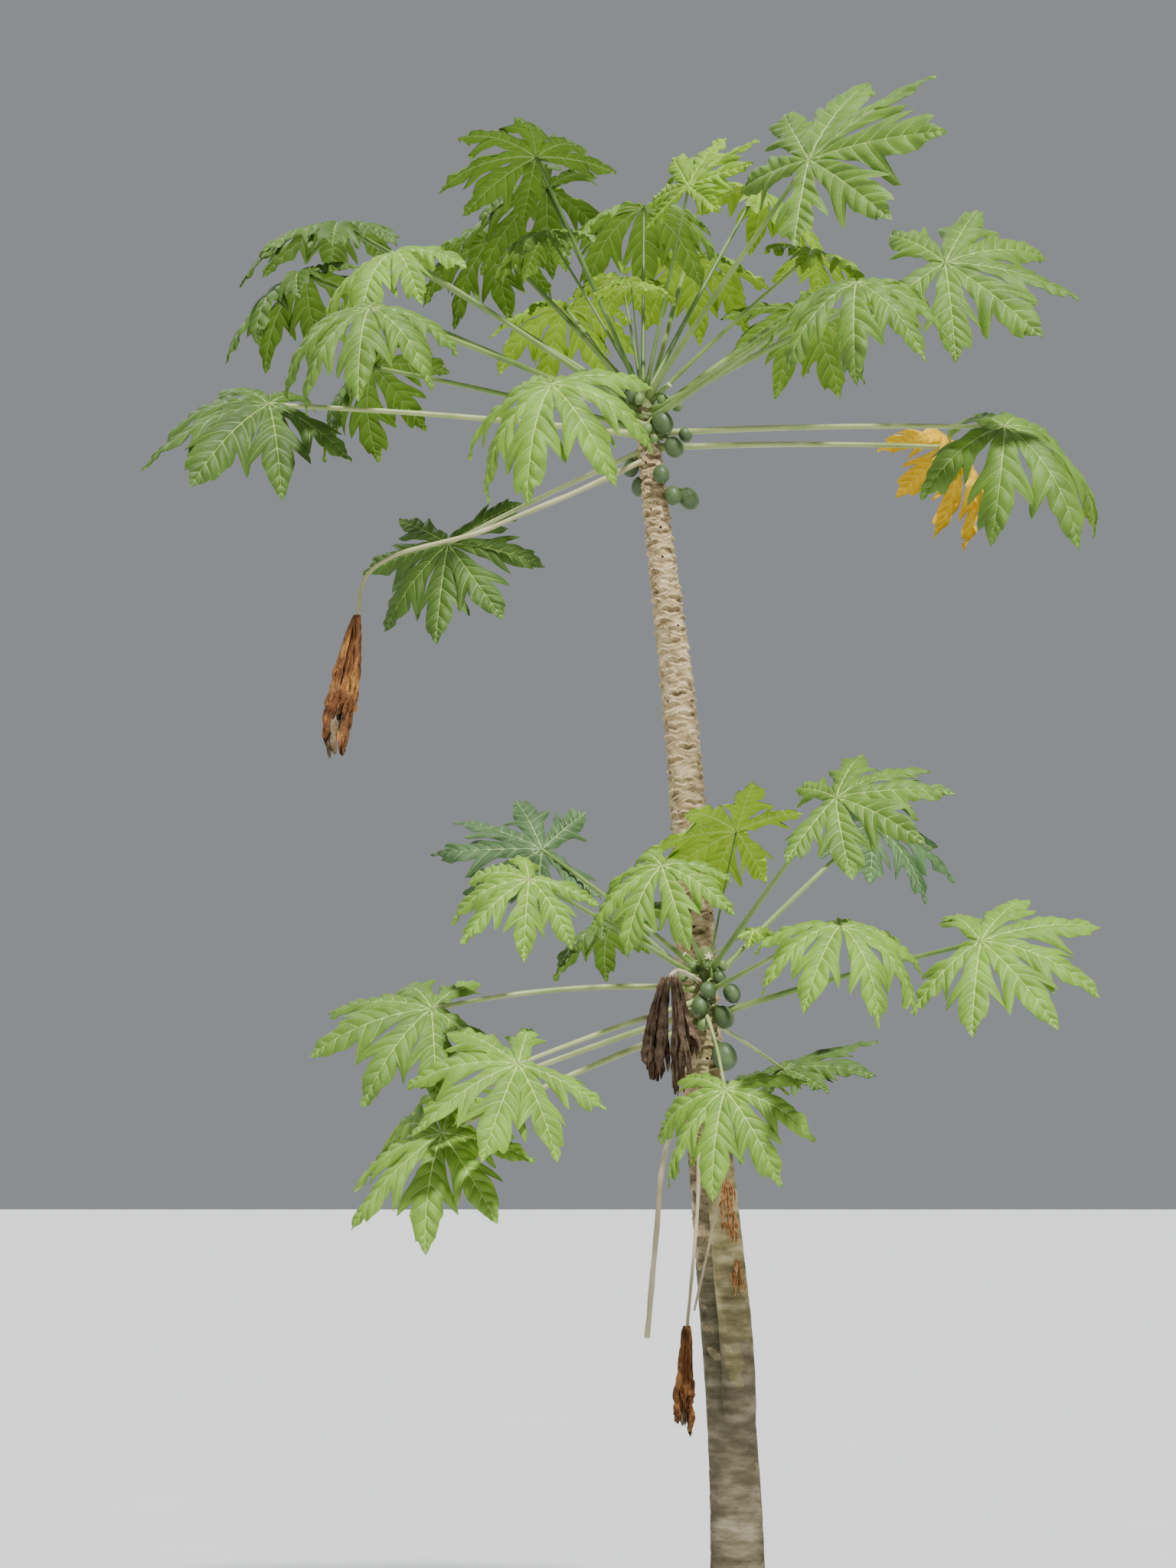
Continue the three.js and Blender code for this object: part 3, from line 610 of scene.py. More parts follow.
def tube(points, radii, across, sides, wobble=0.0, seed=0):
    """Rings round a line of points. across is a direction that is nowhere along the line."""
    points = np.asarray(points, dtype=float)
    tangents = np.gradient(points, axis=0)
    tangents /= np.linalg.norm(tangents, axis=1)[:, None]
    over = np.cross(tangents, np.asarray(across))
    over /= np.linalg.norm(over, axis=1)[:, None]
    side = np.cross(over, tangents)
    angles = np.linspace(0, 2 * math.pi, sides, endpoint=False)
    rows = np.arange(len(points))[:, None]
    uneven_share = (np.sin(2 * angles + 0.7 * rows + seed)
                    + 0.6 * np.sin(3 * angles - 1.3 * rows + 2 * seed))
    radii = np.asarray(radii, dtype=float)[:, None] * (1 + wobble * uneven_share)
    return (points[:, None, :]
            + radii[:, :, None] * (np.cos(angles)[None, :, None] * side[:, None, :]
                                   + np.sin(angles)[None, :, None] * over[:, None, :]))


# Stems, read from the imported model's level rings

def stem_rings(node, sides, foot=()):
    """Heights, middles and radii of a stem's rings, with those of a foot that they leave out."""
    levels = {}
    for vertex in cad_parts[node].data.vertices:
        place = tuple(round(value, 4) for value in vertex.co)
        levels.setdefault(place[2], set()).add(place)
    heights = [height for height in sorted(levels) if len(levels[height]) == sides]
    middles = np.array([np.mean(list(levels[height]), axis=0)[:2] for height in heights])
    radii = np.array([
        np.mean(np.linalg.norm(np.array(list(levels[height]))[:, :2] - middle, axis=1))
        for height, middle in zip(heights, middles)
    ])
    below = np.reshape(foot, (-1, 4))
    return SimpleNamespace(
        heights=np.concatenate([below[:, 2], heights]),
        middles=np.concatenate([below[:, :2], middles]),
        radii=np.concatenate([below[:, 3], radii]))


STEMS = {
    "trunk": stem_rings("trunk", TRUNK_SIDES),
    "side": stem_rings("side_stem", SIDE_STEM_SIDES, SIDE_STEM_FOOT),
}


def stem_middle(stem, height):
    rings = STEMS[stem]
    x, y = smooth_through(rings.heights, rings.middles, np.array([height]))[0]
    return Vector((x, y, height))


def stem_radius(stem, height):
    rings = STEMS[stem]
    return float(smooth_through(rings.heights, rings.radii, np.array([height]))[0])


def scar_relief(relief, heights, radii, angles, scars, seed):
    """Raises the scar that each fallen leaf left: a winged brow, a bud over it and a low lip.

    Gives how much each place belongs to a ridge and to a hollow, for painted highlight and shade.
    """
    chance = random.Random(seed)
    ridges = np.zeros_like(relief)
    hollows = np.zeros_like(relief)
    low, high = scars
    height = low
    count = 0
    while height < high:
        turn = math.radians(count * GOLDEN_ANGLE + chance.uniform(-9, 9))
        size = chance.uniform(0.85, 1.15)
        grown = (height - low) / (high - low)
        half_width = SCAR_HALF_WIDTH * size * (1.15 - 0.4 * grown)
        half_height = SCAR_HALF_HEIGHT * size * (1.1 - 0.3 * grown)
        strength = SCAR_RELIEF * min(1, 0.25 + 3 * grown) * chance.uniform(0.7, 1.2)
        rows = np.where(np.abs(heights - height) < 3 * half_height)[0]
        out = wrapped(angles - turn)[None, :] * radii[rows][:, None]
        beside = out / half_width
        above = (heights[rows][:, None] - height) / half_height
        inside = np.clip(1.2 - np.abs(beside), 0, 0.4) / 0.4
        brow = BROW_RISE * (1 - beside ** 2) - BROW_DIP * np.exp(-np.abs(beside) / BROW_DIP_WIDTH)
        lip = -LIP_DROP * (1 - beside ** 2)
        wide = SCAR_RIDGE / half_height
        ridge = np.exp(-((above - brow) / wide) ** 2) + 0.8 * np.exp(-((above - lip) / wide) ** 2)
        ridge += 0.4 * np.exp(-((above - lip + 0.5) / wide) ** 2)
        from_bud = np.hypot(out, (above - BUD_SEAT) * half_height)
        bud = np.exp(-((from_bud - BUD_RADIUS) / BUD_EDGE) ** 2)
        hole = np.exp(-(from_bud / BUD_RADIUS) ** 2) * (chance.random() < OPEN_BUDS)
        hollow = inside * np.exp(-((above - 0.5 * (brow + lip)) / HOLLOW_HEIGHT) ** 2)
        relief[rows] += strength * (inside * ridge + 0.8 * bud - 0.6 * hollow - 1.3 * hole)
        ridges[rows] = np.maximum(ridges[rows], inside * ridge)
        hollows[rows] = np.maximum(hollows[rows], np.maximum(0.8 * hollow, 2 * hole))
        height += SCAR_STEP * chance.uniform(0.9, 1.1) * (1.25 - 0.4 * grown)
        count += 1
    return ridges, hollows


def wrapped(angles):
    """Angles brought between half a turn back and half a turn on."""
    return (angles + math.pi) % (2 * math.pi) - math.pi


def crack_relief(relief, heights, angles, span, spacing, depth, seed):
    """Cuts fine level cracks, each round part of the stem."""
    chance = random.Random(seed)
    height = span[0]
    while height < span[1]:
        centre = chance.uniform(-math.pi, math.pi)
        reach = chance.uniform(0.5, 2.2)
        tilt = chance.uniform(-CRACK_TILT, CRACK_TILT)
        rows = np.where(np.abs(heights - height) < CRACK_ZONE)[0]
        across = wrapped(angles - centre)
        line = height + tilt * np.sin(across * 2 + centre)
        near = np.exp(-((heights[rows][:, None] - line[None, :]) / CRACK_WIDTH) ** 2)
        fade = np.clip((reach - np.abs(across)) / CRACK_FADE, 0, 1)[None, :]
        relief[rows] -= depth * near * fade
        height += chance.uniform(0.5, 1.5) * spacing


def stem_grid(stem, turn, columns):
    """Heights of a stem's rows, close together from a turning point up, with their rings."""
    rings = STEMS[stem]
    high = rings.heights[-1]
    smooth_rows = np.arange(rings.heights[0], turn, SMOOTH_STEM_ROW)
    scarred_rows = np.arange(turn, high - STEM_ROW / 2, STEM_ROW)
    heights = np.concatenate([smooth_rows, scarred_rows, [high]])
    middles = smooth_through(rings.heights, rings.middles, heights)
    radii = smooth_through(rings.heights, rings.radii, heights)
    angles = np.linspace(-math.pi, math.pi, columns, endpoint=False)
    return heights, middles, radii, angles


def stem_points(heights, middles, radii, angles, relief):
    """Points of a stem's skin, drawn in to a round tip at its top."""
    near_top = np.clip(1 - (heights[-1] - heights) / TIP_ROUNDING, 0, 0.97)
    out = (radii[:, None] + relief) * np.sqrt(1 - near_top ** 2)[:, None]
    x = middles[:, 0][:, None] + out * np.cos(angles)
    y = middles[:, 1][:, None] + out * np.sin(angles)
    z = np.repeat(heights[:, None], len(angles), axis=1)
    return np.stack([x, y, z], axis=-1)


def unevenness(heights, angles, scales, amounts, seeds):
    """Slow unevenness over a stem, coarse and then fine."""
    total = 0
    for scale, amount, seed in zip(scales, amounts, seeds):
        chance = random.Random(seed)
        bumps = np.zeros((len(heights), len(angles)))
        for _ in range(UNEVEN_WAVES):
            turns = chance.randint(1, 4)
            rate = chance.uniform(0.5, 1.6) * scale
            phase = chance.uniform(0, 6.3)
            bumps += np.sin(turns * angles[None, :] + rate * heights[:, None] + phase)
        total = total + bumps * amount / UNEVEN_WAVES
    return total


def make_trunk():
    heights, middles, radii, angles = stem_grid("trunk", TRUNK_SCARS[0], TRUNK_COLUMNS)
    relief = unevenness(heights, angles, BUMP_SCALES, (0.0035, 0.0012), (4, 5))
    ridges, hollows = scar_relief(relief, heights, radii, angles, TRUNK_SCARS, 11)
    crack_relief(relief, heights, angles, TRUNK_CRACKS, 0.026, 0.0014, 12)
    foot = np.exp(-heights / FOOT_HEIGHT)[:, None]
    relief += FOOT_RIBS * foot * np.sin(5 * angles[None, :] + 1.2)
    relief = np.clip(relief, -0.007, 0.008)
    patches = unevenness(heights, angles, PATCH_SCALES, PATCH_AMOUNTS, (8, 10))
    speckle = np.random.default_rng(9).uniform(-0.15, 0.15, relief.shape)
    level = heights[:, None]
    age_and_shade = AGING_SHADE_HEIGHT - level - 0.6 * patches

    kinds = ("tan", "grey", "ridge", "young", "crack", "hollow", "aging")
    tan, grey, ridge, young, crack, hollow, aging = range(len(kinds))
    skin = np.full(relief.shape, tan)
    # painted shade in the hollows of the scars
    skin[hollows + 0.8 * patches + speckle > 1.05] = hollow
    # painted highlight on the ridges of the scars
    skin[ridges + speckle > 0.76] = ridge
    skin[level - YOUNG_HEIGHT + 0.25 * patches > 0] = young
    # more painted shade in the hollows just under the crown
    skin[(hollows + speckle > 0.6) & (level > YOUNG_HEIGHT - 0.18)] = hollow
    # going down the bark grows older and greyer, darkened by painted shade below the crowns
    skin[age_and_shade > 0] = aging
    skin[age_and_shade > 0.22] = grey
    # painted shade inside the open bud holes
    skin[hollows > OPEN_HOLLOW] = crack

    points = stem_points(heights, middles, radii, angles, relief)
    turn = int(np.searchsorted(heights, TRUNK_SCARS[0]))
    for part, rows in (("lower", slice(None, turn + 1)), ("upper", slice(turn, None))):
        mesh = Mesh()
        mesh.skin(points[rows], skin[rows][:-1])
        mesh.add(f"trunk_bark_{part}", [f"bark_{kind}" for kind in kinds], "trunk", "bark")


def make_side_stem():
    heights, middles, radii, angles = stem_grid("side", SIDE_STEM_SCARS[0], SIDE_STEM_COLUMNS)
    relief = unevenness(heights, angles, BUMP_SCALES, (0.0025, 0.001), (6, 7))
    ridges, hollows = scar_relief(relief, heights, radii, angles, SIDE_STEM_SCARS, 13)
    crack_relief(relief, heights, angles, (heights[0], SIDE_STEM_CRACK_TOP), 0.018, 0.001, 14)
    relief = np.clip(relief, -0.005, 0.006)
    patches = unevenness(heights, angles, PATCH_SCALES, PATCH_AMOUNTS, (15, 16))
    level = heights[:, None]

    kinds = ("olive", "tan", "fork", "young", "crack", "torn", "grey")
    olive, tan, fork, young, crack, torn, grey = range(len(kinds))
    skin = np.full(relief.shape, olive)
    # painted highlight: lighter tan on the ridges of the scars
    skin[ridges > 0.85] = tan
    # painted shade: darker olive bark towards the fork
    skin[level - FORK_BARK_TOP + 0.3 * patches < 0] = fork
    skin[level - SIDE_YOUNG_HEIGHT + 0.2 * patches > 0] = young
    # grey older bark at the foot, darkened by painted shade
    skin[level - FORK_BARK_FOOT + 0.2 * patches < 0] = grey
    # painted shade inside the open bud holes
    skin[hollows > OPEN_HOLLOW] = crack

    mesh = Mesh()
    mesh.skin(stem_points(heights, middles, radii, angles, relief), skin[:-1])
    add_flakes(mesh, torn)
    mesh.add("side_stem_bark", [f"bark_{kind}" for kind in kinds], "side_stem", "bark")


def add_flakes(mesh, surface):
    """Torn flakes of bark that stand off the side stem."""
    chance = random.Random(31)
    for centre, spread, count in TORN_PATCHES:
        for _ in range(count):
            height = centre + chance.uniform(-1, 1) * spread
            heading = chance.gauss(TORN_HEADING, TORN_SPREAD)
            length = chance.uniform(0.018, 0.05)
            outward = direction(heading)
            across = direction(heading + 90)
            aside = across * chance.uniform(-0.01, 0.01)
            top = stem_middle("side", height) + outward * (stem_radius("side", height) - 0.002)
            elbow = top + outward * chance.uniform(0.004, 0.01) + aside * 0.5
            elbow.z -= 0.5 * length
            end = top + outward * chance.uniform(0.0, 0.014) + aside
            end.z -= length
            points = curve_points([top, elbow, end], 7)
            radii = np.linspace(0.0046, 0.0014, len(points)) * chance.uniform(0.7, 1.2)
            mesh.skin(tube(points, radii, across, 6, wobble=0.3, seed=height), surface)


# Leaves

def stalk_line(leaf, stem):
    """Foot, middle handle and hub of a leaf's stalk."""
    inset = STALK_SEAT * stem_radius(stem, leaf.foot)
    foot = stem_middle(stem, leaf.foot) + direction(leaf.heading) * inset
    along = direction(leaf.heading, leaf.rise)
    hub = foot + along * (leaf.length - inset)
    handle = (foot + hub) / 2 + Vector((0, 0, leaf.bow))
    return foot, handle, hub


def stalk_rings(leaf, stem):
    foot, handle, hub = (np.array(place) for place in stalk_line(leaf, stem))
    share = np.linspace(0, 1, STALK_STEPS + 1)[:, None]
    points = (1 - share) ** 2 * foot + 2 * share * (1 - share) * handle + share ** 2 * hub
    slimness = min(1, leaf.length / FULL_STALK)
    if leaf.rise > STEEP_RISE:
        slimness *= STEEP_SLIMNESS
    share = share[:, 0]
    radii = STALK_FOOT_RADIUS + (STALK_TIP_RADIUS - STALK_FOOT_RADIUS) * share ** STALK_TAPER
    flare = STALK_FLARE * np.exp(-share * leaf.length / STALK_FLARE_LENGTH)
    swell = STALK_SWELL * np.exp(-(1 - share) * leaf.length / STALK_SWELL_LENGTH)
    radii = radii * slimness * (1 + flare + swell)
    return tube(points, radii, direction(leaf.heading + 90), STALK_SIDES)


def lobe_edge(chance, rank):
    """One side of a lobe's edge. Its side lobes vary in size and now and then one is missing."""
    wide = chance.uniform(1.0, WIDEST_LOBE)
    large = chance.uniform(*LARGE_LOBE_SIZES) * (OUTER_LOBE_SIZE if rank == 3 else 1)
    small = chance.choice(SMALL_LOBE_SIZES)
    shift = chance.uniform(-SIDE_LOBE_SHIFT, SIDE_LOBE_SHIFT)
    edge = []
    for index, (forward, sideways) in enumerate(LOBE_EDGE):
        if index in LARGE_SIDE_LOBE:
            sideways = BODY_WIDTH + (sideways - BODY_WIDTH) * large
        if index in SMALL_NOTCH:
            forward += SMALL_NOTCH_DEPTH * (1 - small)
        if index in SMALL_SIDE_LOBE:
            plain = TIP_WIDTH * (1 - forward) ** TIP_TAPER
            sideways = plain + (sideways - plain) * small
        slide = shift if 0 < index < SECOND_TIP + 2 else 0
        edge.append((forward + slide, sideways * wide))
    return edge


def lobe_rows(edge, sinus):
    """Rows across a lobe half: place on the midrib, vein side (-1, 0 or 1) and hill height."""
    keys = [sinus] + edge
    places = [forward - sideways / SIDE_VEIN_SLANT for forward, sideways in keys]
    for index in range(1, len(places)):
        places[index] = max(places[index], places[index - 1] + LEAST_ROW_GAP)
    places[-1] = 1.0
    stops = [places[0], places[1 + FIRST_TIP], places[1 + SECOND_TIP], 1]
    veins = [FIRST_VEIN * places[0]]
    for shares, low, high in zip(VEIN_SHARES, stops, stops[1:]):
        veins += [low + share * (high - low) for share in shares]
    rows = [(0.0, 0, 0.0)]
    before = 0.0
    for vein in veins:
        rows += [(before + share * (vein - before), 0, hill) for share, hill in VEIN_HILLS]
        rows += [(vein, -1, 0.0), (vein, 1, 0.0)]
        before = vein
    rows += [(0.5 * (before + 1), 0, 0.5), (1.0, 0, 0.0)]
    return rows, places, keys


class BladePlan:
    """A leaf blade laid flat: faces with a vein or lamina surface, and points.

    A point is its place, its distance from the midrib, its pucker, its wave and its rib's depth.
    """

    def __init__(self, chance, lobe_length):
        self.chance = chance
        self.lobe_length = lobe_length
        self.points = []
        self.quads = []
        self.vein = []
        self.spread = {}
        self.twist = {}
        for angle in (*LOBE_ANGLES, *(-angle for angle in LOBE_ANGLES[1:])):
            self.spread[angle] = chance.uniform(-LOBE_SPREAD, LOBE_SPREAD)
            self.twist[angle] = chance.uniform(-LOBE_TWIST, LOBE_TWIST)
        self.build()

    def build(self):
        outer = len(LOBE_ANGLES) - 1
        for place in range(-outer, outer + 1):
            rank = abs(place)
            angle = LOBE_ANGLES[rank] if place > 0 else -LOBE_ANGLES[rank]
            for side in (-1, 1):
                beside = abs(place + side)
                if beside > outer:
                    gap = 180 - LOBE_ANGLES[outer]
                    depth = BASAL_SINUS_DEPTH
                else:
                    gap = abs(LOBE_ANGLES[beside] - LOBE_ANGLES[rank]) / 2
                    depth = SINUS_DEPTHS[min(rank, beside)]
                self.half_lobe(rank, angle, side, math.radians(gap), depth)

    def half_lobe(self, rank, angle, side, gap, depth):
        """Rows of points from the midrib to the edge, each along a side vein's slant."""
        length = LOBE_LENGTHS[rank]
        sinus = (depth * math.cos(gap) / length, depth * math.sin(gap) / length)
        rows, places, keys = lobe_rows(lobe_edge(self.chance, rank), sinus)
        edge_forward, edge_side = np.array([(0.0, 0.0), *keys]).T
        places = [0.0, *places]
        scale = length * self.lobe_length
        phase = self.chance.uniform(0, 6.3)
        pace = self.chance.uniform(15, 24)
        wave_size = MARGIN_WAVE * self.chance.uniform(0.5, 1.2)
        turn = math.radians(angle + self.spread[angle])
        first = len(self.points)
        for place, vein_side, hill in rows:
            for column, share in enumerate(BLADE_COLUMNS):
                vein = VEIN_HALF_WIDTH / scale * (1 - VEIN_TAPER * share)
                station = min(1, place + vein_side * vein)
                forward = float(np.interp(station, places, edge_forward))
                sideways = float(np.interp(station, places, edge_side))
                span = math.hypot(forward - station, sideways)
                rib = MIDRIB_HALF_WIDTH / scale * (1 - MIDRIB_TAPER * place)
                start = 0.0 if span == 0 else min(WIDEST_RIB, rib / span)
                mix = 0.0 if column == 0 else start + (1 - start) * share
                x = station + (forward - station) * mix - VEIN_BOW * mix * (1 - mix) * sideways
                y = side * sideways * mix
                crown = math.sin(math.pi * mix) ** 0.6 if 0 < mix < 1 else 0.0
                pucker = PUCKER * hill * crown * min(1, span * scale / FULL_PUCKER_SPAN)
                free = max(0.0, min(1.0, (station - places[1]) / 0.12))
                ripple = math.sin(pace * station + phase) + 0.5 * math.sin(2.3 * pace * station)
                out = mix * sideways
                arch = LOBE_ARCH * (out / LOBE_HALF_WIDTH) ** 2
                bent = scale * (self.twist[angle] * side * out - arch)
                rib_depth = 0.35 * (1 - share) if vein_side else 0.0
                if column == 0:
                    rib_depth = 1 - 0.85 * place
                self.points.append((
                    length * (x * math.cos(turn) - y * math.sin(turn)),
                    length * (x * math.sin(turn) + y * math.cos(turn)), length * abs(y),
                    pucker, free * (wave_size * mix ** 2 * ripple + bent), rib_depth,
                ))
        self.join(rows, first, side)

    def join(self, rows, first, side):
        columns = len(BLADE_COLUMNS)
        for row in range(len(rows) - 1):
            vein_row = rows[row][1] == -1 and rows[row + 1][1] == 1
            for column in range(columns - 1):
                corner = first + row * columns + column
                quad = [corner, corner + columns, corner + columns + 1, corner + 1]
                self.quads.append(quad if side > 0 else quad[::-1])
                self.vein.append(1 if column == 0 or vein_row else 0)

    def welded(self):
        """The plan with coinciding points made one."""
        points = np.array(self.points)
        keys = np.round(points[:, :2] * WELD_STEPS).astype(int)
        _, first, inverse = np.unique(keys, axis=0, return_index=True, return_inverse=True)
        inverse = inverse.reshape(-1)
        faces = []
        veins = []
        for quad, vein in zip(self.quads, self.vein):
            corners = [int(inverse[corner]) for corner in quad]
            kept = [corner for index, corner in enumerate(corners) if corner != corners[index - 1]]
            if len(kept) >= 3 and len(set(kept)) == len(kept):
                faces.append(kept)
                veins.append(vein)
        return points[first], faces, veins


def place_blade(leaf, hub, points):
    """Each plan point's place and the blade's own upward direction there."""
    forward = direction(leaf.face, -leaf.pitch)
    level = direction(leaf.face + 90)
    normal = forward.cross(level)
    bank = Quaternion(forward, math.radians(leaf.roll))
    level.rotate(bank)
    normal.rotate(bank)
    forward, level, normal, hub = (np.array(axis) for axis in (forward, level, normal, hub))

    reach = np.hypot(points[:, 0], points[:, 1])
    angle = np.arctan2(points[:, 1], points[:, 0])
    outward = np.cos(angle)[:, None] * forward + np.sin(angle)[:, None] * level
    flutter = LOBE_FLUTTER * np.sin(3 * angle + leaf.heading)
    steep = np.sqrt(1 - outward[:, 2] ** 2)
    bend = np.radians(leaf.droop * steep + LEAST_BEND + flutter)
    turned = bend * np.minimum(1, reach)
    size = leaf.lobe
    run = np.sin(turned) / bend * size
    drop = (1 - np.cos(turned)) / bend * size
    lift = LOBE_CUP * points[:, 2] * size - drop
    up = normal * np.cos(turned)[:, None] + outward * np.sin(turned)[:, None]
    place = hub + outward * run[:, None] + normal * lift[:, None]
    return place, up


def stalk_tone(leaf):
    """Level stalks are old and pale; steep ones are young, deep green and in painted shade."""
    if leaf.rise < PALE_RISE:
        return "stalk_cream"
    return "stalk_deep" if leaf.rise > STEEP_RISE else "stalk_green"


def make_leaf(leaf, stem, node, seed):
    plan = BladePlan(random.Random(seed), leaf.lobe)
    points, faces, veins = plan.welded()
    _, _, hub = stalk_line(leaf, stem)
    place, up = place_blade(leaf, hub, points)
    middle = place + up * (points[:, 3] + points[:, 4])[:, None]
    top = middle + up * (BLADE_THICKNESS / 2)
    bottom = middle - up * (BLADE_THICKNESS / 2 + RIB_DEPTH * points[:, 5])[:, None]
    under = [[corner + len(points) for corner in reversed(face)] for face in faces]
    slot = "old_leaf" if leaf.tone == "old" else "leaf"
    add_piece(node + "_blade", np.concatenate([top, bottom]), faces + under,
              veins + [2 + vein for vein in veins], leaf_surfaces[leaf.tone], node)

    mesh = Mesh()
    mesh.skin(stalk_rings(leaf, stem))
    mesh.add(node + "_stalk", [stalk_tone(leaf)], node, slot)


# Dead leaves

def ribbon_rings(top, bottom, turn, widths, seed):
    """A dry lobe: a thin ribbon, folded along its length, crumpled, with a ragged end."""
    chance = random.Random(seed)
    top = np.array(top)
    bottom = np.array(bottom)
    share = np.linspace(0, 1, RIBBON_ROWS)
    sway = np.array([chance.uniform(-1, 1), chance.uniform(-1, 1), 0]) * widths[1] * 0.3
    middle = top + (bottom - top) * share[:, None] + sway * np.sin(math.pi * share)[:, None]
    half = 0.5 * (widths[0] + (widths[1] - widths[0]) * share ** 1.2)
    half *= 1 - 0.65 * np.clip((share - 0.86) / 0.14, 0, 1) ** 2
    half *= np.sqrt(np.clip(share / RIBBON_NECK, 0.05, 1))
    twist = turn + chance.uniform(-0.6, 0.6) * share
    folds = chance.uniform(1.6, 2.6)
    phase = chance.uniform(0, 6.3)
    faces = np.zeros((2, RIBBON_ROWS, RIBBON_COLUMNS, 3))
    for row in range(RIBBON_ROWS):
        aside = np.array([math.cos(twist[row]), math.sin(twist[row]), 0])
        outward = np.array([-math.sin(twist[row]), math.cos(twist[row]), 0])
        for column, place in enumerate(np.linspace(-1, 1, RIBBON_COLUMNS)):
            spot = Vector((place * 1.6 + seed, share[row] * 2.6, seed * 0.7))
            crumple = 0.6 * noise.noise(spot * 1.7) + 0.5 * noise.noise(spot * 4.1)
            fold = 0.55 * math.cos(folds * math.pi * place + phase + 1.2 * share[row])
            depth = half[row] * (fold + crumple)
            edge = Vector((seed, share[row] * 11, place * 1.5))
            torn = 0.9 + 0.7 * share[row] ** 2 * noise.noise(edge)
            point = middle[row] + aside * half[row] * place * torn + outward * depth
            point[2] += RIBBON_RAG * share[row] ** 6 * noise.noise(spot * 3.1)
            thick = outward * RIBBON_THICKNESS / 2 * (1 - 0.8 * abs(place) ** 4)
            faces[0, row, column] = point + thick
            faces[1, row, column] = point - thick
    return np.concatenate([faces[1], faces[0][:, ::-1]], axis=1)


def add_rag(mesh, rag, dead, seed):
    """A dead blade: folded lobes that hang close together from its hub and part lower down."""
    chance = random.Random(seed)
    top, full_length, width, lean = rag
    top = Vector(top)
    count = dead.ribbons
    reach = width * 0.5 * dead.splay
    for index in range(count):
        around = 2 * math.pi * (index + chance.uniform(0.2, 0.8)) / count
        length = full_length * chance.uniform(0.68, 1.0)
        start = top + Vector((math.cos(around), math.sin(around), 0)) * HUB_RADIUS
        end = top + Vector((
            lean + reach * math.cos(around), 0.7 * reach * math.sin(around), -length,
        ))
        narrow = width * dead.neck
        wide = width * dead.hem * chance.uniform(0.8, 1.15)
        turn = around + math.pi / 2 + chance.uniform(-0.5, 0.5)
        rings = ribbon_rings(start, end, turn, (narrow, wide), seed * 17 + index)
        mesh.skin(rings, 2 if index % PALE_EVERY == 1 else 1)


def make_dead_leaf(dead, seed):
    mesh = Mesh()
    points = curve_points(dead.stalk, DEAD_STALK_STEPS)
    share = np.linspace(0, 1, len(points))
    foot_radius, tip_radius = dead.radii
    radii = foot_radius + (tip_radius - foot_radius) * share ** STALK_TAPER
    across = direction(dead.heading + 90)
    mesh.skin(tube(points, radii * SHRUNK, across, STALK_SIDES, wobble=0.09, seed=seed))
    for index, rag in enumerate(dead.rags):
        add_rag(mesh, rag, dead, seed * 10 + index)
    mesh.add(dead.node + "_dry", [dead.bare, dead.dry, "dead_olive"],
             dead.node, "dead_leaf" if dead.rags else "dead_stalk")


# Fruit and flowers

def fruit_rings(centre, axis, length):
    """An egg-shaped fruit with five faint ribs."""
    share = np.linspace(0, 1, FRUIT_ROWS)
    along = -0.5 * np.cos(math.pi * share) * length
    belly = np.sin(math.pi * share) ** 0.86
    radius = FRUIT_WIDTH * length * belly * (1 + 0.05 * np.cos(math.pi * share))
    radius = np.maximum(radius, FRUIT_END_RADIUS)
    side = axis.orthogonal().normalized()
    over = axis.cross(side)
    angles = np.linspace(0, 2 * math.pi, FRUIT_COLUMNS, endpoint=False)
    rib = 1 + FRUIT_RIBS * np.cos(5 * angles)
    return (np.array(centre) + np.array(axis) * along[:, None, None]
            + (radius[:, None] * rib[None, :])[:, :, None]
            * (np.cos(angles)[None, :, None] * np.array(side)
               + np.sin(angles)[None, :, None] * np.array(over)))


def knob_rings(centre, axis, length, radius):
    """A small round-ended knob, as a fruit's tip or its cap."""
    share = np.linspace(0, 1, 7)
    points = np.array(centre) + np.array(axis) * (share[:, None] * length)
    radii = radius * np.sqrt(np.clip(1 - (share * 0.98) ** 2, 0.02, 1))
    return tube(points, radii, axis.orthogonal().normalized(), 8)


def add_fruit_stalk(mesh, knot, end, surface):
    middle = (knot + end) / 2 + Vector((0, 0, FRUIT_STALK_BOW))
    points = curve_points([knot, middle, end], 8)
    share = np.linspace(0, 1, len(points))
    radii = FRUIT_STALK_RADIUS * (1 + 0.5 * share ** 4 + 0.5 * (1 - share) ** 4)
    across = (end - knot).cross(Vector((0, 0, 1))).normalized()
    mesh.skin(tube(points, radii, across, 8), surface)


def add_flower(mesh, centre, axis, size, surface):
    """An open flower: five waxy petals that curl back."""
    side = axis.orthogonal().normalized()
    over = axis.cross(side)
    for petal in range(5):
        angle = 2 * math.pi * petal / 5
        outward = side * math.cos(angle) + over * math.sin(angle)
        elbow = centre + axis * 0.5 * size + outward * 0.45 * size
        points = curve_points([centre, elbow, centre + axis * 0.35 * size + outward * size], 8)
        share = np.linspace(0, 1, len(points))
        radii = size * 0.22 * np.sin(math.pi * (0.12 + 0.8 * share)) ** 0.8
        mesh.skin(tube(points, radii, axis.cross(outward), 8), surface)


